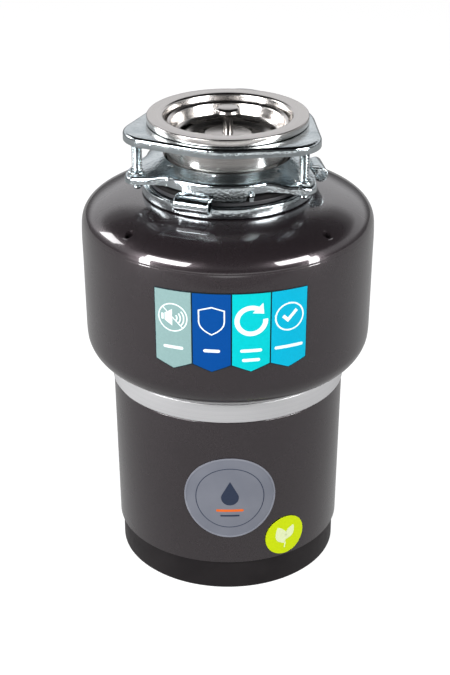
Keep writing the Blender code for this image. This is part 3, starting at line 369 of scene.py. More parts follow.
def flowing(points, steps=6):
    """Points on a smooth curve through a list of (radius, height) points."""
    ends = [points[0], *points, points[-1]]
    curve = []
    for four in zip(ends, ends[1:], ends[2:], ends[3:]):
        for step in range(steps):
            t = step / steps
            spot = []
            for a, b, c, d in zip(*four):
                square, cube = a - 2.5 * b + 2 * c - d / 2, (d - a + 3 * (b - c)) / 2
                spot.append(b + t * (c - a) / 2 + t * t * square + t**3 * cube)
            curve.append(tuple(spot))
    return curve + [points[-1]]


def sheet(path, thickness):
    """A closed section: a path of (radius, height) points, and the same path set off to its right."""
    other = []
    for index, (radius, height) in enumerate(path):
        along = Vector(path[min(index + 1, len(path) - 1)]) - Vector(path[max(index - 1, 0)])
        along.normalize()
        other.append((radius + along.y * thickness, height - along.x * thickness))
    return list(path) + other[::-1]


# -------- meshes


def polar(radius, degrees, height=0.0):
    angle = math.radians(degrees)
    return Vector((radius * math.cos(angle), radius * math.sin(angle), height))


def evenly(segments):
    return [360 * step / segments for step in range(segments)]


def arc(centre, radius, start, end, steps):
    """Points on an arc in a plane, angles in degrees, both ends included."""
    points = []
    for step in range(steps + 1):
        spot = polar(radius, start + (end - start) * step / steps)
        points.append((centre[0] + spot.x, centre[1] + spot.y))
    return points


def add_ring(bm, section_at, directions):
    """Carries a closed section round Z. A point at radius 0 is a pole."""
    poles, rings = {}, []
    for degrees in directions:
        ring = []
        for index, (radius, height) in enumerate(section_at(degrees)):
            if radius > 1e-6:
                ring.append(bm.verts.new(polar(radius, degrees, height) * MM))
                continue
            if index not in poles:
                poles[index] = bm.verts.new((0, 0, height * MM))
            ring.append(poles[index])
        rings.append(ring)
    for here, there in zip(rings, rings[1:] + rings[:1]):
        for index in range(len(here)):
            after = (index + 1) % len(here)
            corners = [here[index], there[index], there[after], here[after]]
            corners = [v for n, v in enumerate(corners) if v not in corners[:n]]
            if len(corners) > 2:
                bm.faces.new(corners)


def turn_to(direction):
    """The rotation that turns +Z to a direction."""
    return Vector(direction).to_track_quat("Z", "Y").to_matrix().to_4x4()


# rod, block, prism and drawn each give a function that adds a shape to a mesh


def rod(start, end, radius, segments=SMALL):
    start, end = Vector(start), Vector(end)
    along = end - start
    place = Matrix.Translation((start + end) / 2 * MM) @ turn_to(along)
    size = {"radius1": radius * MM, "radius2": radius * MM, "depth": along.length * MM}
    return lambda bm: bmesh.ops.create_cone(bm, cap_ends=True, segments=segments, matrix=place, **size)


def block(low, high, turn=0.0):
    low, high = Vector(low) * MM, Vector(high) * MM
    place = Matrix.Rotation(math.radians(turn), 4, "Z") @ Matrix.Translation((low + high) / 2)
    place @= Matrix.Diagonal((high - low).to_4d())
    return lambda bm: bmesh.ops.create_cube(bm, size=1, matrix=place)


def bridge(bm, here, there):
    """Faces between two closed loops of vertices."""
    for index in range(len(here)):
        after = (index + 1) % len(here)
        bm.faces.new((here[index], here[after], there[after], there[index]))


def prism(outline, low, high):
    """An outline of (x, y) points raised from one height to another."""

    def add(bm):
        bottom = [bm.verts.new(Vector((x, y, low)) * MM) for x, y in outline]
        top = [bm.verts.new(Vector((x, y, high)) * MM) for x, y in outline]
        bm.faces.new(bottom[::-1])
        bm.faces.new(top)
        bridge(bm, bottom, top)

    return add


def drawn(section, half_width, turn):
    """A (radius, height) section drawn out to both sides of the direction given by turn, in degrees."""
    spin = Matrix.Rotation(math.radians(turn), 3, "Z")

    def add(bm):
        near, far = [
            [bm.verts.new(spin @ Vector((radius, side, height)) * MM) for radius, height in section]
            for side in (-half_width, half_width)
        ]
        bm.faces.new(near)
        bm.faces.new(far[::-1])
        bridge(bm, near, far)

    return add


def make_object(name, bm):
    bmesh.ops.recalc_face_normals(bm, faces=bm.faces)
    mesh = bpy.data.meshes.new(name)
    bm.to_mesh(mesh)
    bm.free()
    return new_object(name, mesh)


def shaped(name, *adders):
    """An object made of shapes, each given as a function that adds it to a mesh, such as rod gives."""
    bm = bmesh.new()
    for adder in adders:
        adder(bm)
    return make_object(name, bm)


def ringed(name, section_at, segments):
    """An object whose section can change with the direction."""
    return shaped(name, lambda bm: add_ring(bm, section_at, evenly(segments)))


def turned(name, section, segments=FINE):
    return ringed(name, lambda degrees: section, segments)


def settle(obj):
    """Applies every modifier."""
    bpy.context.view_layer.update()
    graph = bpy.context.evaluated_depsgraph_get()
    mesh = bpy.data.meshes.new_from_object(obj.evaluated_get(graph))
    old = obj.data
    obj.modifiers.clear()
    obj.data = mesh
    bpy.data.meshes.remove(old)


def combine(obj, operation, *adders):
    """Cuts from obj, or joins to it, the shapes that the adders make."""
    helper = shaped(obj.name + "_helper", *adders)
    modifier = obj.modifiers.new("combine", "BOOLEAN")
    modifier.operation = operation
    modifier.solver = "EXACT"
    modifier.object = helper
    settle(obj)
    bpy.data.objects.remove(helper, do_unlink=True)


def cut(obj, *adders):
    combine(obj, "DIFFERENCE", *adders)


def merge(obj, pieces):
    """Joins whole objects to obj, one after the other, and removes them."""
    for piece in pieces:
        modifier = obj.modifiers.new("merge", "BOOLEAN")
        modifier.operation = "UNION"
        modifier.object = piece
    settle(obj)
    for piece in pieces:
        bpy.data.objects.remove(piece, do_unlink=True)


def soften(obj, width, segments=3, angle=40):
    """Rounds the edges that are sharper than an angle in degrees."""
    modifier = obj.modifiers.new("soften", "BEVEL")
    modifier.width = width * MM
    modifier.segments = segments
    modifier.limit_method = "ANGLE"
    modifier.angle_limit = math.radians(angle)
    settle(obj)


def lay(obj, direction, seat):
    """Turns a shape made along +Z so that it points in direction, and puts its origin at seat."""
    obj.data.transform(Matrix.Translation(Vector(seat) * MM) @ turn_to(direction))


def dress(obj, slot, *nodes, look=None, body=HOUSING, sharp=35):
    """Gives a piece its material and shading, the body that it moves with and the nodes it stands for.

    look names its material, where that isn't the slot's own.
    """
    obj.data.materials.clear()
    obj.data.materials.append(LOOKS[look or slot])
    obj.data.shade_smooth()
    obj.data.set_sharp_from_angle(angle=math.radians(sharp))
    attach(obj, body)
    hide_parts(*nodes)


def turned_piece(node, slot, corners, segments=FINE, body=HOUSING, suffix="fine"):
    """A finished turned piece in place of a frame node."""
    dress(turned(f"{node}_{suffix}", rounded(corners), segments), slot, node, body=body)


# -------- shells

SHELL_LOW, SHELL_HIGH = span("lower_shell")
SHELL_FOOT_RADIUS = 83.9
OUTLET_HEIGHT, OUTLET_SCREW_OFFSET = 192.0, 32.0
INLET_HEIGHT, INLET_ANGLE = 245.0, 115
COVER_SCREW_CIRCLE, COVER_SCREW_ANGLES = 94.5, (45, 135, 225, 315)
LEDGE_TOP = 269.4  # the inner ledge of the top cover, where its screws sit


def lower_shell_radius(height):
    share = (height - SHELL_LOW.z) / (SHELL_HIGH.z - SHELL_LOW.z)
    return SHELL_FOOT_RADIUS + (SHELL_HIGH.x - SHELL_FOOT_RADIUS) * share


def inlet_rod(start, end, radius):
    """A rod along the dishwasher inlet, between two distances from the motor's axis."""
    ends = [polar(distance, INLET_ANGLE, INLET_HEIGHT) for distance in (start, end)]
    return rod(*ends, radius, MEDIUM)


def cover_screw_rods(low, high, radius):
    rods = []
    for degrees in COVER_SCREW_ANGLES:
        start = polar(COVER_SCREW_CIRCLE, degrees, low)
        rods.append(rod(start, (start.x, start.y, high), radius))
    return rods


def make_lower_shell():
    low, high = SHELL_LOW.z, SHELL_HIGH.z
    foot, head, wall = lower_shell_radius(low), lower_shell_radius(high), 1.6
    corners = [(foot - wall, low), (foot, low, 0.5), (head, high, 0.5), (head - wall, high)]
    turned_piece("lower_shell", "grey_paint", corners, suffix="skin")


def make_trim_band():
    low, high = span("trim_band")
    bore = 82.8
    corners = [(bore, low.z), (high.x, low.z, 0.8), (high.x, high.z, 0.8), (bore, high.z)]
    turned_piece("trim_band", "silver_trim", corners, suffix="skin")


def make_upper_shell():
    bottom, top = heights("upper_shell")
    rise = [
        (85.4, bottom), (88.5, bottom + 1.4), (94.5, bottom + 5.2), (99.3, bottom + 9.9),
        (102.5, bottom + 15.5), (104.0, bottom + 22.5), (104.4, bottom + 40), (104.9, bottom + 80),
        (105.2, top - 12), (105.1, top - 4), (104.9, top),
    ]
    inside = [(104.8, top + 0.3), (103.2, top + 0.3), (102.2, 200), (101.8, 181), (97.6, 172)]
    inside += [(84.6, bottom + 2.9), (84.8, bottom)]
    shell = turned("upper_shell_skin", flowing(rise) + inside)
    holes = [rod((0, 90, OUTLET_HEIGHT), (0, 120, OUTLET_HEIGHT), 23, MEDIUM)]
    for x in (-OUTLET_SCREW_OFFSET, OUTLET_SCREW_OFFSET):
        holes.append(rod((x, 80, OUTLET_HEIGHT), (x, 120, OUTLET_HEIGHT), 3.2))
    cut(shell, *holes)
    cut(shell, inlet_rod(95, 112, 11.2))
    dress(shell, "grey_paint", "upper_shell")


def make_top_cover():
    bottom, top = heights("top_cover")
    dome = [
        (104.8, bottom), (104.6, bottom + 1.8), (103.6, 272.2), (101.2, 275.9), (96.4, 279.7),
        (89, 283.1), (80, 285.8), (70, 287.5), (61, top), (58, top - 0.2), (56.4, top - 1.0),
    ]
    inside = [(56, top - 1.8), (56, 285.4), (76, 284.2), (94, 278.2), (101, LEDGE_TOP)]
    inside += [(90.5, LEDGE_TOP), (90.5, bottom), (104.4, bottom)]
    cover = turned("top_cover_skin", flowing(dome) + inside)
    boss, well, hole = 4.7, 3.3, 1.9  # radii round each screw
    combine(cover, "UNION", *cover_screw_rods(LEDGE_TOP - 0.8, 278.4, boss))
    cut(cover, *cover_screw_rods(LEDGE_TOP, 295, well))
    cut(cover, *cover_screw_rods(260, 272, hole))
    dress(cover, "grey_paint", "top_cover")
    for number, degrees in enumerate(COVER_SCREW_ANGLES, 1):
        seat = polar(COVER_SCREW_CIRCLE, degrees, LEDGE_TOP + 0.3)
        make_screw(f"top_cover_screw_{number}", seat, (0, 0, 1), (2.9, 2.2), (1.5, 8.5))


def make_screw(node, seat, outward, head, shank):
    """A pan-head screw with a cross recess. seat is under its head; head and shank are (radius, length)."""
    (radius, tall), (thin, deep) = head, shank
    crown = [(0, tall), (radius * 0.6, tall * 0.93), (radius * 0.93, tall * 0.6), (radius, tall * 0.1)]
    stem = [(radius * 0.96, 0), (thin, 0), (thin, 1 - deep), (thin * 0.6, -deep), (0, -deep)]
    piece = turned(node + "_fine", flowing(crown) + stem, SMALL)
    reach, half = radius * 0.56, radius * 0.13
    for turn in (0, 90):
        cut(piece, block((-reach, -half, tall * 0.4), (reach, half, tall + 1), turn))
    lay(piece, outward, seat)
    dress(piece, "zinc_plate", node)


# -------- base

BUTTON_X = -38.0
WIRING_SCREW_Y = 56.5
GLAND_HEIGHT = 13.5


def make_base():
    high = span("base_cover")[1]
    radius, under, inside = high.x, 4.0, 6.5
    corners = [
        (0, 0), (13, 0, 0.5), (15, under, 0.8), (67, under, 0.8), (70, 0, 0.5), (80, 0, 0.6),
        (radius, 1.6, 0.8), (radius, 23.2, 0.5), (radius - 0.9, 24.1, 0.3), (radius - 0.9, high.z),
        (79, high.z), (79, inside), (0, inside),
    ]
    cover = turned("base_cover_skin", rounded(corners))
    below, above = -5, 12  # the cutters' reach through the floor of the cover
    button = rod((BUTTON_X, 0, below), (BUTTON_X, 0, above), 6.0)
    screw = rod((0, WIRING_SCREW_Y, below), (0, WIRING_SCREW_Y, above), 2.0)
    window = block((-22, 31, below), (22, 52, above))
    gland = rod((0, 76, GLAND_HEIGHT), (0, 95, GLAND_HEIGHT), 7.3)
    cut(cover, button, screw, window, gland)
    dress(cover, "black_plastic", "base_cover")
    make_wiring_cover()
    make_gland()
    make_button()


def make_wiring_cover():
    low, high = span("wiring_cover")
    plate = shaped("wiring_cover_plate", block(low, high))
    soften(plate, 0.45)
    cut(plate, rod((0, WIRING_SCREW_Y, 0), (0, WIRING_SCREW_Y, 6), 2.0))
    dress(plate, "zinc_plate", "wiring_cover")
    make_screw("wiring_cover_screw", (0, WIRING_SCREW_Y, 2.1), (0, 0, -1), (3.6, 1.3), (1.7, 8))


def make_gland():
    """The strain relief: a ribbed collar outside the wall and a plain tube through it."""
    inner, wall, outer = 67, 82.1, 90

    def section(degrees):
        rib = 0.5 if degrees * 12 % 360 < 180 else 0.0
        collar = [(6.5, wall), (10 - rib, wall, 0.4), (10 - rib, 85.5, 0.6)]
        return rounded([(4.0, inner), (6.5, inner), *collar, (6.6, outer, 0.5), (4.0, outer, 0.6)])

    gland = ringed("cable_gland_fine", section, MEDIUM)
    lay(gland, (0, 1, 0), (0, 0, GLAND_HEIGHT))
    dress(gland, "black_plastic", "cable_gland")


def make_button():
    low, high = span("reset_button")
    corners = [(0, low.z + 0.3), (3, low.z, 4), (4.6, low.z + 0.2, 0.4), (5.4, 2.2, 0.3)]
    corners += [(5.4, 6.9), (7, 6.9), (7, 8.5)]
    button = turned("reset_button_fine", rounded(corners) + [(4, 8.5), (4, high.z), (0, high.z)], SMALL)
    lay(button, (0, 0, 1), (BUTTON_X, 0, 0))
    dress(button, "red_button", "reset_button", body="reset")


# -------- waste outlet and dishwasher inlet

OUTLET_BORE = 15.0
ELBOW_RADIUS = 17.0
ELBOW_BEND = 24.0


def make_outlet():
    low, high = span("outlet_gasket")
    collar, bore, depth = high.x, 15.4, high.y - low.y
    corners = [(bore, 0), (collar, 0, 0.6), (collar, depth, 0.6), (bore, depth)]
    gasket = turned("outlet_gasket_fine", rounded(corners), MEDIUM)
    lay(gasket, (0, 1, 0), (0, low.y, OUTLET_HEIGHT))
    dress(gasket, "rubber_black", "outlet_gasket")
    make_elbow()

    low, high = span("outlet_flange")
    offset, ear, disc = OUTLET_SCREW_OFFSET, 8, 24
    plan = arc((-offset, 0), ear, 120, 240, 12) + arc((0, 0), disc, 235, 305, 16)
    plan += arc((offset, 0), ear, -60, 60, 12) + arc((0, 0), disc, 55, 125, 16)
    plate = shaped("outlet_flange_fine", prism(plan, 0, high.y - low.y))
    soften(plate, 0.5)
    holes = [rod((x, 0, -5), (x, 0, 8), 2.7) for x in (-offset, offset)]
    cut(plate, rod((0, 0, -5), (0, 0, 8), ELBOW_RADIUS + 0.6, MEDIUM), *holes)
    lay(plate, (0, 1, 0), (0, low.y, OUTLET_HEIGHT))
    dress(plate, "zinc_plate", "outlet_flange")
    for number, x in ((1, -offset), (2, offset)):
        seat = (x, high.y + 0.3, OUTLET_HEIGHT)
        make_screw(f"outlet_screw_{number}", seat, (0, 1, 0), (4.6, 3.4), (2.3, 26))


def make_elbow():
    """A moulded pipe that leaves the outlet, bends down and ends in a spigot with a small bead."""
    low = span("outlet_elbow")[0]
    start, end_height = low.y, low.z
    collar, collar_end, straight = 21.0, start + 4, start + 12
    stations = [(start, 0, 0, collar - 0.5), (start + 0.5, 0, 0, collar), (collar_end - 0.5, 0, 0, collar)]
    stations += [(collar_end, 0, 0, collar - 0.5), (collar_end, 0, 0, ELBOW_RADIUS + 1.2)]
    stations += [(collar_end + 0.4, 0, 0, ELBOW_RADIUS + 0.3), (collar_end + 1.2, 0, 0, ELBOW_RADIUS)]
    bend_steps = 20
    for step in range(bend_steps + 1):
        angle = math.pi / 2 * step / bend_steps
        along, drop = ELBOW_BEND * math.sin(angle), ELBOW_BEND * (1 - math.cos(angle))
        stations.append((straight + along, -drop, angle, ELBOW_RADIUS))
    last = straight + ELBOW_BEND
    spigot = [(34, 0), (33.5, 0), (33.2, -0.5), (6, -0.5), (5.6, 0), (3.2, 0), (2.8, -0.5), (0.8, -0.5)]
    spigot.append((0, -1.2))
    for above_end, change in spigot:
        stations.append((last, end_height + above_end - OUTLET_HEIGHT, math.pi / 2, ELBOW_RADIUS + change))

    bm = bmesh.new()
    walls = []
    for inner in (False, True):
        rings = []
        for along, drop, angle, radius in stations:
            centre = Vector((0, along, OUTLET_HEIGHT + drop))
            up = Vector((0, math.sin(angle), math.cos(angle)))
            ring = []
            for degrees in evenly(MEDIUM):
                spot = polar(OUTLET_BORE if inner else radius, degrees)
                ring.append(bm.verts.new((centre + Vector((spot.x, 0, 0)) + spot.y * up) * MM))
            rings.append(ring)
        walls.append(rings)
    outer, inside = walls
    ends = (outer[0], inside[0]), (outer[-1], inside[-1])
    for here, there in (*zip(outer, outer[1:]), *zip(inside, inside[1:]), *ends):
        bridge(bm, here, there)
    bmesh.ops.remove_doubles(bm, verts=bm.verts, dist=1e-6)
    elbow = make_object("outlet_elbow_fine", bm)
    dress(elbow, "black_plastic", "outlet_elbow")


def make_hopper():
    """The grinding container, its neck with the lip for the mount, and the barbed dishwasher nipple."""
    bottom, top = heights("hopper")
    lip, neck = top - 3.0, 50.5
    corners = [
        (99, bottom), (99, bottom + 4.2), (92, bottom + 4.2), (92, 258, 6), (86, 268, 8),
        (70, 277.5, 8), (56, 281.5, 3), (neck, 284.5, 1.5), (neck, lip, 0.5), (56, lip, 0.6),
        (56, top, 0.6), (46.6, top, 0.6), (46.6, 284, 2), (52, 278.5, 3), (68, 273.5, 6),
        (82.5, 265.5, 6), (88.4, 256, 6), (88.4, bottom),
    ]
    hopper = turned("hopper_fine", rounded(corners))
    barbs = [(0, 90), (10, 90), (10, 104), (9.2, 106), (10, 107), (9.2, 110), (10, 111), (9.2, 114)]
    barbs += [(10, 115), (9.2, 119), (0, 119)]
    nipple = turned("nipple", barbs, MEDIUM)
    lay(nipple, polar(1, INLET_ANGLE), (0, 0, INLET_HEIGHT))
    merge(hopper, [nipple])
    cut(hopper, inlet_rod(80, 130, 7.7))
    dress(hopper, "chamber_plastic", "hopper")

    corners = [(0, 112), (6.9, 112, 0.5), (6.9, 119.4), (10, 119.4, 0.4), (10, 122, 0.6), (8, 122)]
    corners += [(7.4, 121.4), (0, 121.4)]
    plug = turned("dishwasher_inlet_plug_fine", rounded(corners), MEDIUM)
    lay(plug, polar(1, INLET_ANGLE), (0, 0, INLET_HEIGHT))
    dress(plug, "black_plastic", "dishwasher_inlet_plug")


# -------- sink mount

MOUNT_SCREW_ANGLES = (200.5, 320.5, 80.5)
MOUNT_SCREW_CIRCLE = 67.3
THREAD_PITCH = 2.1


def three_cornered(disc, circle, corner):
    """The plan of a disc with a round corner at each mounting screw, joined by tangents.

    It comes back as a function from a direction in degrees to a radius.
    """
    tangent = math.acos((disc - corner) / circle)
    corner_end = math.atan2(corner * math.sin(tangent), circle + corner * math.cos(tangent))

    def edge(degrees):
        off = math.radians(screw_offset(degrees))
        if off >= tangent:
            return disc
        if off >= corner_end:
            return disc / math.cos(tangent - off)
        return circle * math.cos(off) + math.sqrt(corner**2 - (circle * math.sin(off)) ** 2)

    return edge


def screw_offset(degrees):
    """Degrees between a direction and the nearest mounting screw."""
    return abs((degrees - MOUNT_SCREW_ANGLES[0] + 60) % 120 - 60)


def make_sink_flange():
    low, high = span("sink_flange")
    bottom, top, radius = low.z, high.z, high.x
    sleeve, metal = 43.3, 1.1
    corners = [
        (sleeve, bottom, 0.4), (sleeve, 335.6, 2.5), (47.4, 338.2, 1.5), (49.4, top - 2.0, 0.8),
        (55.4, top - 2.0), (55.6, top - 5.0), (radius, top - 5.0, 0.5), (radius, top, 0.8),
        (45.3, top, 2.0), (44.2, 337.2, 1.2), (sleeve - metal, 335.4, 1.2),
        (sleeve - metal, bottom, 0.4),
    ]
    turned_piece("sink_flange", "stainless", corners)

    low, high = span("sink_gasket")
    corners = [(48.6, low.z, 0.5), (high.x, low.z, 0.7), (high.x, high.z, 0.6), (50, high.z, 0.6)]
    turned_piece("sink_gasket", "rubber_black", corners)


def make_backup_plate():
    """The rounded three-cornered plate under the sink flange, pressed with a turned-down rim."""
    low, high = span("backup_plate")
    metal = 1.8
    edge = three_cornered(61.5, 52.0, 24.0)

    def section(degrees):
        rim = edge(degrees)
        path = [(46.5, high.z), (rim, high.z, 2.4), (rim, low.z)]
        return sheet(rounded(path), metal)

    plate = ringed("backup_plate_fine", section, 2 * FINE)
    soften(plate, 0.25, 2, 60)
    dress(plate, "zinc_plate", "backup_plate")


def make_mount_screws():
    low, high = span("mount_screw_1")
    major, minor = 3.8, 2.6
    steps_per_turn = 6

    def section(degrees):
        points = [(0, low.z), (2.2, low.z)]
        steps = round((high.z - low.z - 1.6) / THREAD_PITCH * steps_per_turn)
        for step in range(steps + 1):
            height = low.z + 0.8 + step * THREAD_PITCH / steps_per_turn
            along = (height / THREAD_PITCH - degrees / 360) % 1
            crest = 1 - abs(2 * along - 1)
            taper = min(1, (height - low.z) / 3)
            points.append((minor + (major - minor) * min(1, 1.3 * crest) * taper, height))
        return points + [(2.6, high.z), (0, high.z)]

    for number, degrees in enumerate(MOUNT_SCREW_ANGLES, 1):
        screw = ringed(f"mount_screw_{number}_fine", section, SMALL)
        screw.data.transform(Matrix.Translation(polar(MOUNT_SCREW_CIRCLE, degrees) * MM))
        dress(screw, "zinc_plate", f"mount_screw_{number}", sharp=60)


TRACK_START, TRACK_END = 237.5, 284.0
TRACK_FADE = 3.0  # degrees over which a track flares out of the skirt


def on_track(degrees):
    """How far this direction lies inside one of the three tracks, from 0 outside to 1 inside."""
    within = (degrees - TRACK_START) % 120
    width = TRACK_END - TRACK_START
    return max(0.0, min(1.0, within / TRACK_FADE, (width - within) / TRACK_FADE))


def ease(value, start, end):
    """0 before start, 1 after end, and a smooth rise between them."""
    share = max(0.0, min(1.0, (value - start) / (end - start)))
    return share * share * (3 - 2 * share)


def make_upper_ring():
    """One pressing: a sloped plate with three ears, and a skirt with three flared tracks."""
    high = span("upper_mounting_ring")[1]
    metal, bore, disc, slope, skirt_foot = 1.2, 45.8, 58.4, 0.28, 305.4
    hull = three_cornered(disc, 65.6, 10.5)
    dimples = (216, 261, 314, 96, 141, 6)

    def edge(degrees):
        stands_out = 1 - ease(screw_offset(degrees), 13, 26)
        return disc + (hull(degrees) - disc) * stands_out

    def plate_height(radius, degrees):
        dimple = sum(math.exp(-(((degrees - at + 180) % 360 - 180) / 2.6) ** 2) for at in dimples)
        lens = math.exp(-(((radius - 49.3) / 1.2) ** 2))
        return high.z - slope * (radius - bore) + 0.7 * dimple * lens

    def section(degrees):
        rim = edge(degrees)
        track = on_track(degrees)
        ear = 1 - ease(screw_offset(degrees), 6, 15)
        foot = skirt_foot - 2.2 * ear - 5.0 * track
        radii = (bore, 47, 48, 48.8, 49.6, 50.4, 51.4, 52.6)
        plate = [(radius, plate_height(radius, degrees)) for radius in radii]
        shoulder = [(rim, plate_height(rim, degrees), 3.4 - 0.8 * ear)]
        skirt = [(rim, foot + 2.6), (rim + 0.5 * track, foot + 1.3), (rim + 1.3 * track, foot)]
        return sheet(rounded(plate + shoulder + skirt), metal)

    ring = ringed("upper_mounting_ring_fine", section, 480)
    collars, holes, tabs = [], [], []
    collar = [(4.6, 306.5), (6.6, 306.5), (6.6, 311.3, 1.2), (4.6, 311.3)]
    stop = [(57.6, 300.9), (57.6, 306.6), (61, 307, 0.6), (61.8, 305, 0.5), (59.8, 303.2), (59.8, 300.6)]
    for degrees in MOUNT_SCREW_ANGLES:
        spot = polar(MOUNT_SCREW_CIRCLE, degrees)
        collars.append(turned("collar", rounded(collar), SMALL))
        collars[-1].data.transform(Matrix.Translation(spot * MM))
        holes.append(rod((spot.x, spot.y, 295), (spot.x, spot.y, 325), 4.25))
    for start in (TRACK_END, TRACK_END + 120, TRACK_END + 240):
        tabs.append(drawn(rounded(stop), 1.5, start + 1.6))
    merge(ring, collars)
    combine(ring, "UNION", *tabs)
    cut(ring, *holes)
    dress(ring, "zinc_plate", "upper_mounting_ring")

    low, high = span("snap_ring")
    bore = 44.2
    centre = ((bore + high.x) / 2, (low.z + high.z) / 2)
    snap = turned("snap_ring_fine", arc(centre, (high.x - bore) / 2, 0, 345, 23))
    dress(snap, "hardened_steel", "snap_ring")


LUG_ANGLES = (248.5, 8.5, 128.5)
LUG_RADIUS, LUG_HEIGHT, LUG_LENGTH = 65.1, 299.2, 25.0
LUG_TUBE_RADIUS, LUG_TUBE_BORE = 5.2, 3.3
HOOK_TRAIL = 9.0  # degrees from a lug's middle back to its hook


def make_lower_ring():
    """The ring that turns on the neck: a flange under its lip, a rolled band and three rolled lugs."""
    bottom = span("lower_mounting_ring")[0].z
    top, band = bottom + 7.3, 61.5
    corners = [
        (51.4, 293.6, 0.4), (58.2, 293.6, 0.8), (59.2, bottom, 0.5), (band, bottom, 0.9),
        (band, top, 0.8), (59.8, top, 0.5), (59.8, 294.6, 0.3), (59.0, 294.2), (58.2, 295.7, 0.3),
        (51.4, 295.7, 0.5),
    ]
    ring = turned("lower_mounting_ring_fine", rounded(corners))
    hook_corners = [
        (62.6, 298.4), (65.6, 298.4), (65.6, 304.8, 1.6), (59.5, 304.8, 0.6), (59.5, 302.9, 0.5),
        (62.6, 302.8, 0.6),
    ]
    half = LUG_LENGTH / 2
    tube_corners = [(0, -half), (LUG_TUBE_RADIUS, -half, 0.7), (LUG_TUBE_RADIUS, half, 0.7), (0, half)]
    tubes, bores = [], []
    for degrees in LUG_ANGLES:
        piece = turned("lug", rounded(tube_corners), 64)
        lay(piece, polar(1, degrees + 90), polar(LUG_RADIUS, degrees, LUG_HEIGHT))
        tubes.append(piece)
        piece = shaped("hook", drawn(rounded(hook_corners), 3.2, degrees - HOOK_TRAIL))
        soften(piece, 0.35, 2, 60)
        tubes.append(piece)
        tubes.append(shaped("strap", block((60.0, -12.2, bottom + 2), (61.4, 12.2, LUG_HEIGHT), degrees)))
        centre, along = polar(LUG_RADIUS, degrees, LUG_HEIGHT), polar(LUG_LENGTH, degrees + 90)
        bores.append(rod(centre - along, centre + along, LUG_TUBE_BORE))
    merge(ring, tubes)
    cut(ring, *bores)
    dress(ring, "zinc_plate", "lower_mounting_ring", body="support_ring")


def make_splash_baffle():
    bottom, top = heights("splash_baffle")
    corners = [
        (11, bottom, 0.5), (46.0, bottom, 1.2), (46.0, 299.5, 0.3), (57, 299.5, 0.8),
        (57, top, 1.4), (43.6, top, 1.4), (43.6, bottom + 2.4, 1.2), (11, bottom + 2.4, 0.8),
    ]
    baffle = turned("splash_baffle_fine", rounded(corners))
    slits = [block((5, -0.6, 280), (38, 0.6, 296), turn) for turn in range(0, 360, 45)]
    for half in (slits[::2], slits[1::2]):
        cut(baffle, *half)
    dress(baffle, "rubber_black", "splash_baffle")


# -------- strainer


def arc_slot(near, far, half_angle, turn):
    """A plan of a slot that follows a circle, with round ends."""
    middle, half = (near + far) / 2, (far - near) / 2
    steps = 8
    ends = []
    for side in (1, -1):
        centre = polar(middle, turn + side * half_angle)
        start = turn + side * half_angle + (0 if side > 0 else 180)
        ends.append(arc((centre.x, centre.y), half, start, start + 180, steps))
    outer = arc((0, 0), far, turn - half_angle, turn + half_angle, steps)[1:-1]
    inner = arc((0, 0), near, turn + half_angle, turn - half_angle, steps)[1:-1]
    return outer + ends[0] + inner + ends[1]


def make_basket():
    bottom, top = heights("strainer_basket")
    corners = [
        (0, 328.5), (15.6, 328.4, 1.5), (18.2, bottom, 1.2), (28.8, 325.2, 1.5),
        (31.4, 327.2, 1.5), (37.6, 327.6, 1.8), (39.6, 330.6, 2.0), (41.0, 337.2, 1.2),
        (42.6, 338.2, 0.5), (43.0, 338.8, 0.3), (42.2, top, 0.4), (40.0, 338.6, 1.0),
        (38.3, 331.0, 1.4), (36.6, 328.9, 1.2), (31.0, 328.5, 1.5), (28.4, 326.5, 1.5),
        (19.0, 326.0, 0.9), (16.6, 329.9, 1.2), (0, 330.1),
    ]
    basket = turned("strainer_basket_fine", rounded(corners))
    through = 318, 336  # the cutters' heights
    slots = [prism(arc_slot(32.2, 35.8, 9, a), *through) for a in range(15, 375, 45)]
    slots += [prism(arc_slot(20.8, 25.0, 13, a), *through) for a in range(0, 360, 60)]
    cut(basket, *slots, rod((0, 0, 310), (0, 0, 340), 4.0))
    dress(basket, "stainless", "strainer_basket", body="strainer")

    corners = [(40.3, 331.4, 0.2), (41.7, 331.0, 0.3), (41.7, 334.6, 0.3), (41.1, 334.8)]
    turned_piece("stopper_seal", "rubber_black", corners, body="strainer")


def make_knob():
    foot, top = heights("strainer_knob")
    corners = [
        (0, foot), (7, foot, 0.4), (7, foot + 1.5, 0.4), (3.5, foot + 1.5), (3.6, 342.2, 1.0),
        (8.6, 343.8, 0.6), (9.2, 345.6, 0.8), (8.6, 347.6, 1.2), (6.8, 348.7, 1.0), (0, top),
    ]
    turned_piece("strainer_knob", "stainless", corners, MEDIUM, body="strainer_pull")


# -------- labels


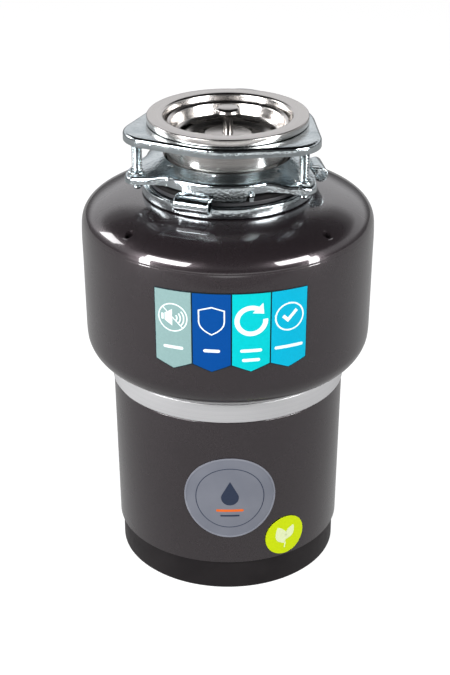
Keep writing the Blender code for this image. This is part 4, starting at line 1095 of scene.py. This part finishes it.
def artwork(name, loops, lift, around, slot, look, *nodes):
    """A thin flat print bent round a shell, finished as dress does it.

    loops are closed outlines of (across, up) points in millimetres; one inside another is a hole. lift is
    (back, front), the print's distances off the shell. around gives the shell's radius at a height, the
    print's middle direction in degrees and its middle height.
    """
    radius_at, degrees, height = around
    curve = bpy.data.curves.new(name, "CURVE")
    curve.dimensions = "2D"
    curve.fill_mode = "BOTH"
    curve.extrude = 0.5 * MM
    for loop in loops:
        spline = curve.splines.new("POLY")
        spline.points.add(len(loop) - 1)
        for point, (across, up) in zip(spline.points, loop):
            point.co = (across * MM, up * MM, 0, 1)
        spline.use_cyclic_u = True
    flat = new_object(name + "_flat", curve)
    bpy.context.view_layer.update()
    mesh = bpy.data.meshes.new_from_object(flat.evaluated_get(bpy.context.evaluated_depsgraph_get()))
    bpy.data.objects.remove(flat, do_unlink=True)
    bm = bmesh.new()
    bm.from_mesh(mesh)
    bpy.data.meshes.remove(mesh)
    bmesh.ops.remove_doubles(bm, verts=bm.verts, dist=1e-6)
    widest = max(abs(across) for loop in loops for across, up in loop)
    step = 1.2
    for count in range(-int(widest / step), int(widest / step) + 1):
        everything = bm.verts[:] + bm.edges[:] + bm.faces[:]
        spot = (count * step * MM, 0, 0)
        bmesh.ops.bisect_plane(bm, geom=everything, dist=1e-7, plane_co=spot, plane_no=(1, 0, 0))
    for vertex in bm.verts:
        across, up, side = vertex.co / MM
        off = lift[1] if side > 0 else lift[0]
        level = height + up
        turn = degrees + math.degrees(across / radius_at(height))
        vertex.co = polar(radius_at(level) + off, turn, level) * MM
    dress(make_object(name, bm), slot, *nodes, look=look)


def circle(radius, centre=(0, 0), segments=64):
    return arc(centre, radius, 0, 360 - 360 / segments, segments - 1)


def placed(outline, centre, turn=0.0):
    """An outline turned by some degrees, then moved to a centre."""
    cosine, sine = math.cos(math.radians(turn)), math.sin(math.radians(turn))
    return [(centre[0] + x * cosine - y * sine, centre[1] + x * sine + y * cosine) for x, y in outline]


def circle_band(centre, inner, outer, start, end, steps=24):
    """An outline of part of a ring."""
    return arc(centre, outer, start, end, steps) + arc(centre, inner, end, start, steps)


def bar(width, height, centre=(0, 0), turn=0.0):
    """An outline of a bar with round ends."""
    half, radius = width / 2 - height / 2, height / 2
    plain = arc((half, 0), radius, -90, 90, 8) + arc((-half, 0), radius, 90, 270, 8)
    return placed(plain, centre, turn)


def shield(half_width, height, shrink=0.0):
    """An outline of a plain shield, its middle at the origin."""
    wide, tall = half_width - shrink, height / 2 - shrink
    lower = [(wide, -tall * 0.05), (wide * 0.9, -tall * 0.38), (wide * 0.55, -tall * 0.72), (0, -tall)]
    right = [(0, tall), (wide, tall * 0.76), *flowing(lower, 4)]
    return right + [(-x, y) for x, y in right[-2:0:-1]]


def drop(height):
    """An outline of a water drop, its middle at the origin."""
    radius = height * 0.32
    centre = -height / 2 + radius
    tip = height / 2
    tangent = math.degrees(math.asin(radius / (tip - centre)))
    return arc((0, centre), radius, 180 - tangent, 360 + tangent, 40) + [(0, tip)]


def leaf(length, width, centre, turn):
    """An outline of a pointed leaf."""
    bulge = width / 2
    edge = [(0, 0), (bulge * 0.8, length / 4), (bulge, length / 2), (bulge * 0.6, length * 0.8)]
    side = flowing(edge + [(0, length)], 5)
    return placed(side + [(-x, y) for x, y in side[-2:0:-1]], centre, turn)


LABEL_START, LABEL_SPAN, LABEL_PANELS = -28.0, 58.6, 4  # degrees from the front, towards +X
LABEL_LINE = 0.5  # the dark outline round each panel
ICON_HEIGHT = 233.5


def upper_shell_radius(height):
    """The shell's radius behind the label, where it widens by 0.8 mm from a height of 200 to 254 mm."""
    return 104.4 + (height - 200) * 0.8 / 54


def make_feature_label():
    low, high = span("feature_label")
    tip, shoulder, top = low.z, low.z + 5.2, high.z
    middle = 270 + LABEL_START + LABEL_SPAN / 2
    mean = (tip + top) / 2
    whole = math.radians(LABEL_SPAN) * upper_shell_radius(mean)
    width = whole / LABEL_PANELS
    around = upper_shell_radius, middle, mean

    def place(number):
        return -whole / 2 + (number + 0.5) * width

    def panel(number):
        left, right = place(number) - width / 2 + LABEL_LINE, place(number) + width / 2 - LABEL_LINE
        low_edge, high_edge = shoulder + LABEL_LINE, top - LABEL_LINE
        points = [(left, low_edge), (place(number), tip + LABEL_LINE), (right, low_edge)]
        return [(x, y - mean) for x, y in points + [(right, high_edge), (left, high_edge)]]

    outline = [(-whole / 2, top - mean), (-whole / 2, shoulder - mean)]
    for number in range(LABEL_PANELS):
        outline += [(place(number), tip - mean), (place(number) + width / 2, shoulder - mean)]
    outline.append((whole / 2, top - mean))
    artwork("feature_label_backing", [outline], (0.35, 0.6), around, "label_print", None, "feature_label")
    for number in range(LABEL_PANELS):
        name, look = f"feature_label_panel_{number + 1}", f"panel_{number + 1}"
        artwork(name, [panel(number)], (0.5, 0.7), around, "label_print", look)
    white = (0.62, 0.79), around, "label_print", "white_ink"
    for number, loops in enumerate((sound_icon(), shield_icon(), cycle_icon(), tick_icon())):
        centre = place(number), ICON_HEIGHT - mean
        for part, group in enumerate(loops, 1):
            moved = [placed(loop, centre) for loop in group]
            artwork(f"feature_icon_{number + 1}_{part}", moved, *white)
    lines = ((0, 14.5, 211), (1, 11.5, 211), (2, 15, 211), (2, 12.5, 203.8), (3, 21, 211))
    for count, (number, length, level) in enumerate(lines, 1):
        line = bar(length, 2.3, (place(number), level - mean))
        artwork(f"feature_caption_{count}", [line], *white)


def sound_icon():
    ring = [circle(10.6), circle(9.7)]
    magnet = [(-8.2, -2.2), (-6.5, -2.2), (-6.5, 2.2), (-8.2, 2.2)]
    cone = [(-5.8, -2.6), (-0.3, -6.2), (-0.3, 6.2), (-5.8, 2.6)]
    waves = [[circle_band((0.2, 0), r - 0.5, r + 0.5, -42, 42)] for r in (2.9, 5.3, 7.7)]
    slash = [bar(20.4, 0.7, turn=-45)]
    return [ring, [magnet], [cone], *waves, slash]


def shield_icon():
    return [[shield(9.1, 21.4), shield(9.1, 21.4, 0.95)]]


def cycle_icon():
    ring = circle_band((0, 0), 8.0, 11.4, 62, 365, 48)
    head = [(0.8, 5.7), (8.6, 4.8), (7.9, 12.8)]
    return [[ring], [head]]


def tick_icon():
    ring = [circle(10.6), circle(9.5)]
    tick = [(-5.6, 0.2), (-3.9, 1.9), (-1.3, -0.7), (4.3, 5.3), (6.0, 3.6), (-1.3, -4.1)]
    return [ring, [tick]]


def round_badge(node, slot, layers, degrees, height):
    """A round label on the lower shell. layers are (name, loops, back, front, look)."""
    around = lower_shell_radius, degrees, height
    for number, (name, loops, back, front, look) in enumerate(layers):
        stands_for = [node] if number == 0 else []
        artwork(f"{node}_{name}", loops, (back, front), around, slot, look, *stands_for)


def make_badge():
    layers = [
        ("plate", [circle(33.4)], 0.45, 0.7, "badge_print"),
        ("rim", [circle(33.6, segments=96), circle(32.4, segments=96)], 0.46, 0.95, "badge_rim"),
        ("inner_ring", [circle(25.1, segments=96), circle(24.6, segments=96)], 0.6, 0.8, "badge_ink"),
        ("drop", [[(x, y + 4) for x, y in drop(20)]], 0.6, 0.8, "badge_ink"),
        ("underline", [bar(20, 2.0, (0, -10.6))], 0.6, 0.8, "badge_accent"),
        ("caption", [bar(14, 1.4, (0, -15))], 0.6, 0.8, "badge_ink"),
    ]
    round_badge("front_badge", "badge_print", layers, degrees=271, height=81.5)


def make_sticker():
    layers = [
        ("disc", [circle(16)], 0.45, 0.75, "sticker_print"),
        ("leaf_left", [leaf(16, 9, (-0.8, -7.0), 20)], 0.6, 0.9, "sticker_ink"),
        ("leaf_right", [leaf(12.5, 7, (1.0, -4.0), -28)], 0.6, 0.9, "sticker_ink"),
        ("stem", [bar(5, 1, (-0.2, -8.6), 80)], 0.6, 0.9, "sticker_ink"),
    ]
    round_badge("eco_sticker", "sticker_print", layers, degrees=300, height=42.4)


# -------- everything


def dress_frame_nodes():
    """Every frame piece gets the finished material of its slot."""
    slots = {entry["node"]: entry["material_slot"] for entry in frame["record"]["subparts"]}
    for name, obj in frame["nodes"].items():
        obj.data.materials.clear()
        obj.data.materials.append(LOOKS[slots[name]])


def main():
    bpy.context.scene.view_settings.view_transform = "Standard"
    make_camera()
    make_light()
    make_floor()
    dress_frame_nodes()
    make_base()
    make_lower_shell()
    make_trim_band()
    make_upper_shell()
    make_top_cover()
    make_outlet()
    make_hopper()
    make_sink_flange()
    make_backup_plate()
    make_mount_screws()
    make_upper_ring()
    make_lower_ring()
    make_splash_baffle()
    make_basket()
    make_knob()
    make_feature_label()
    make_badge()
    make_sticker()


main()
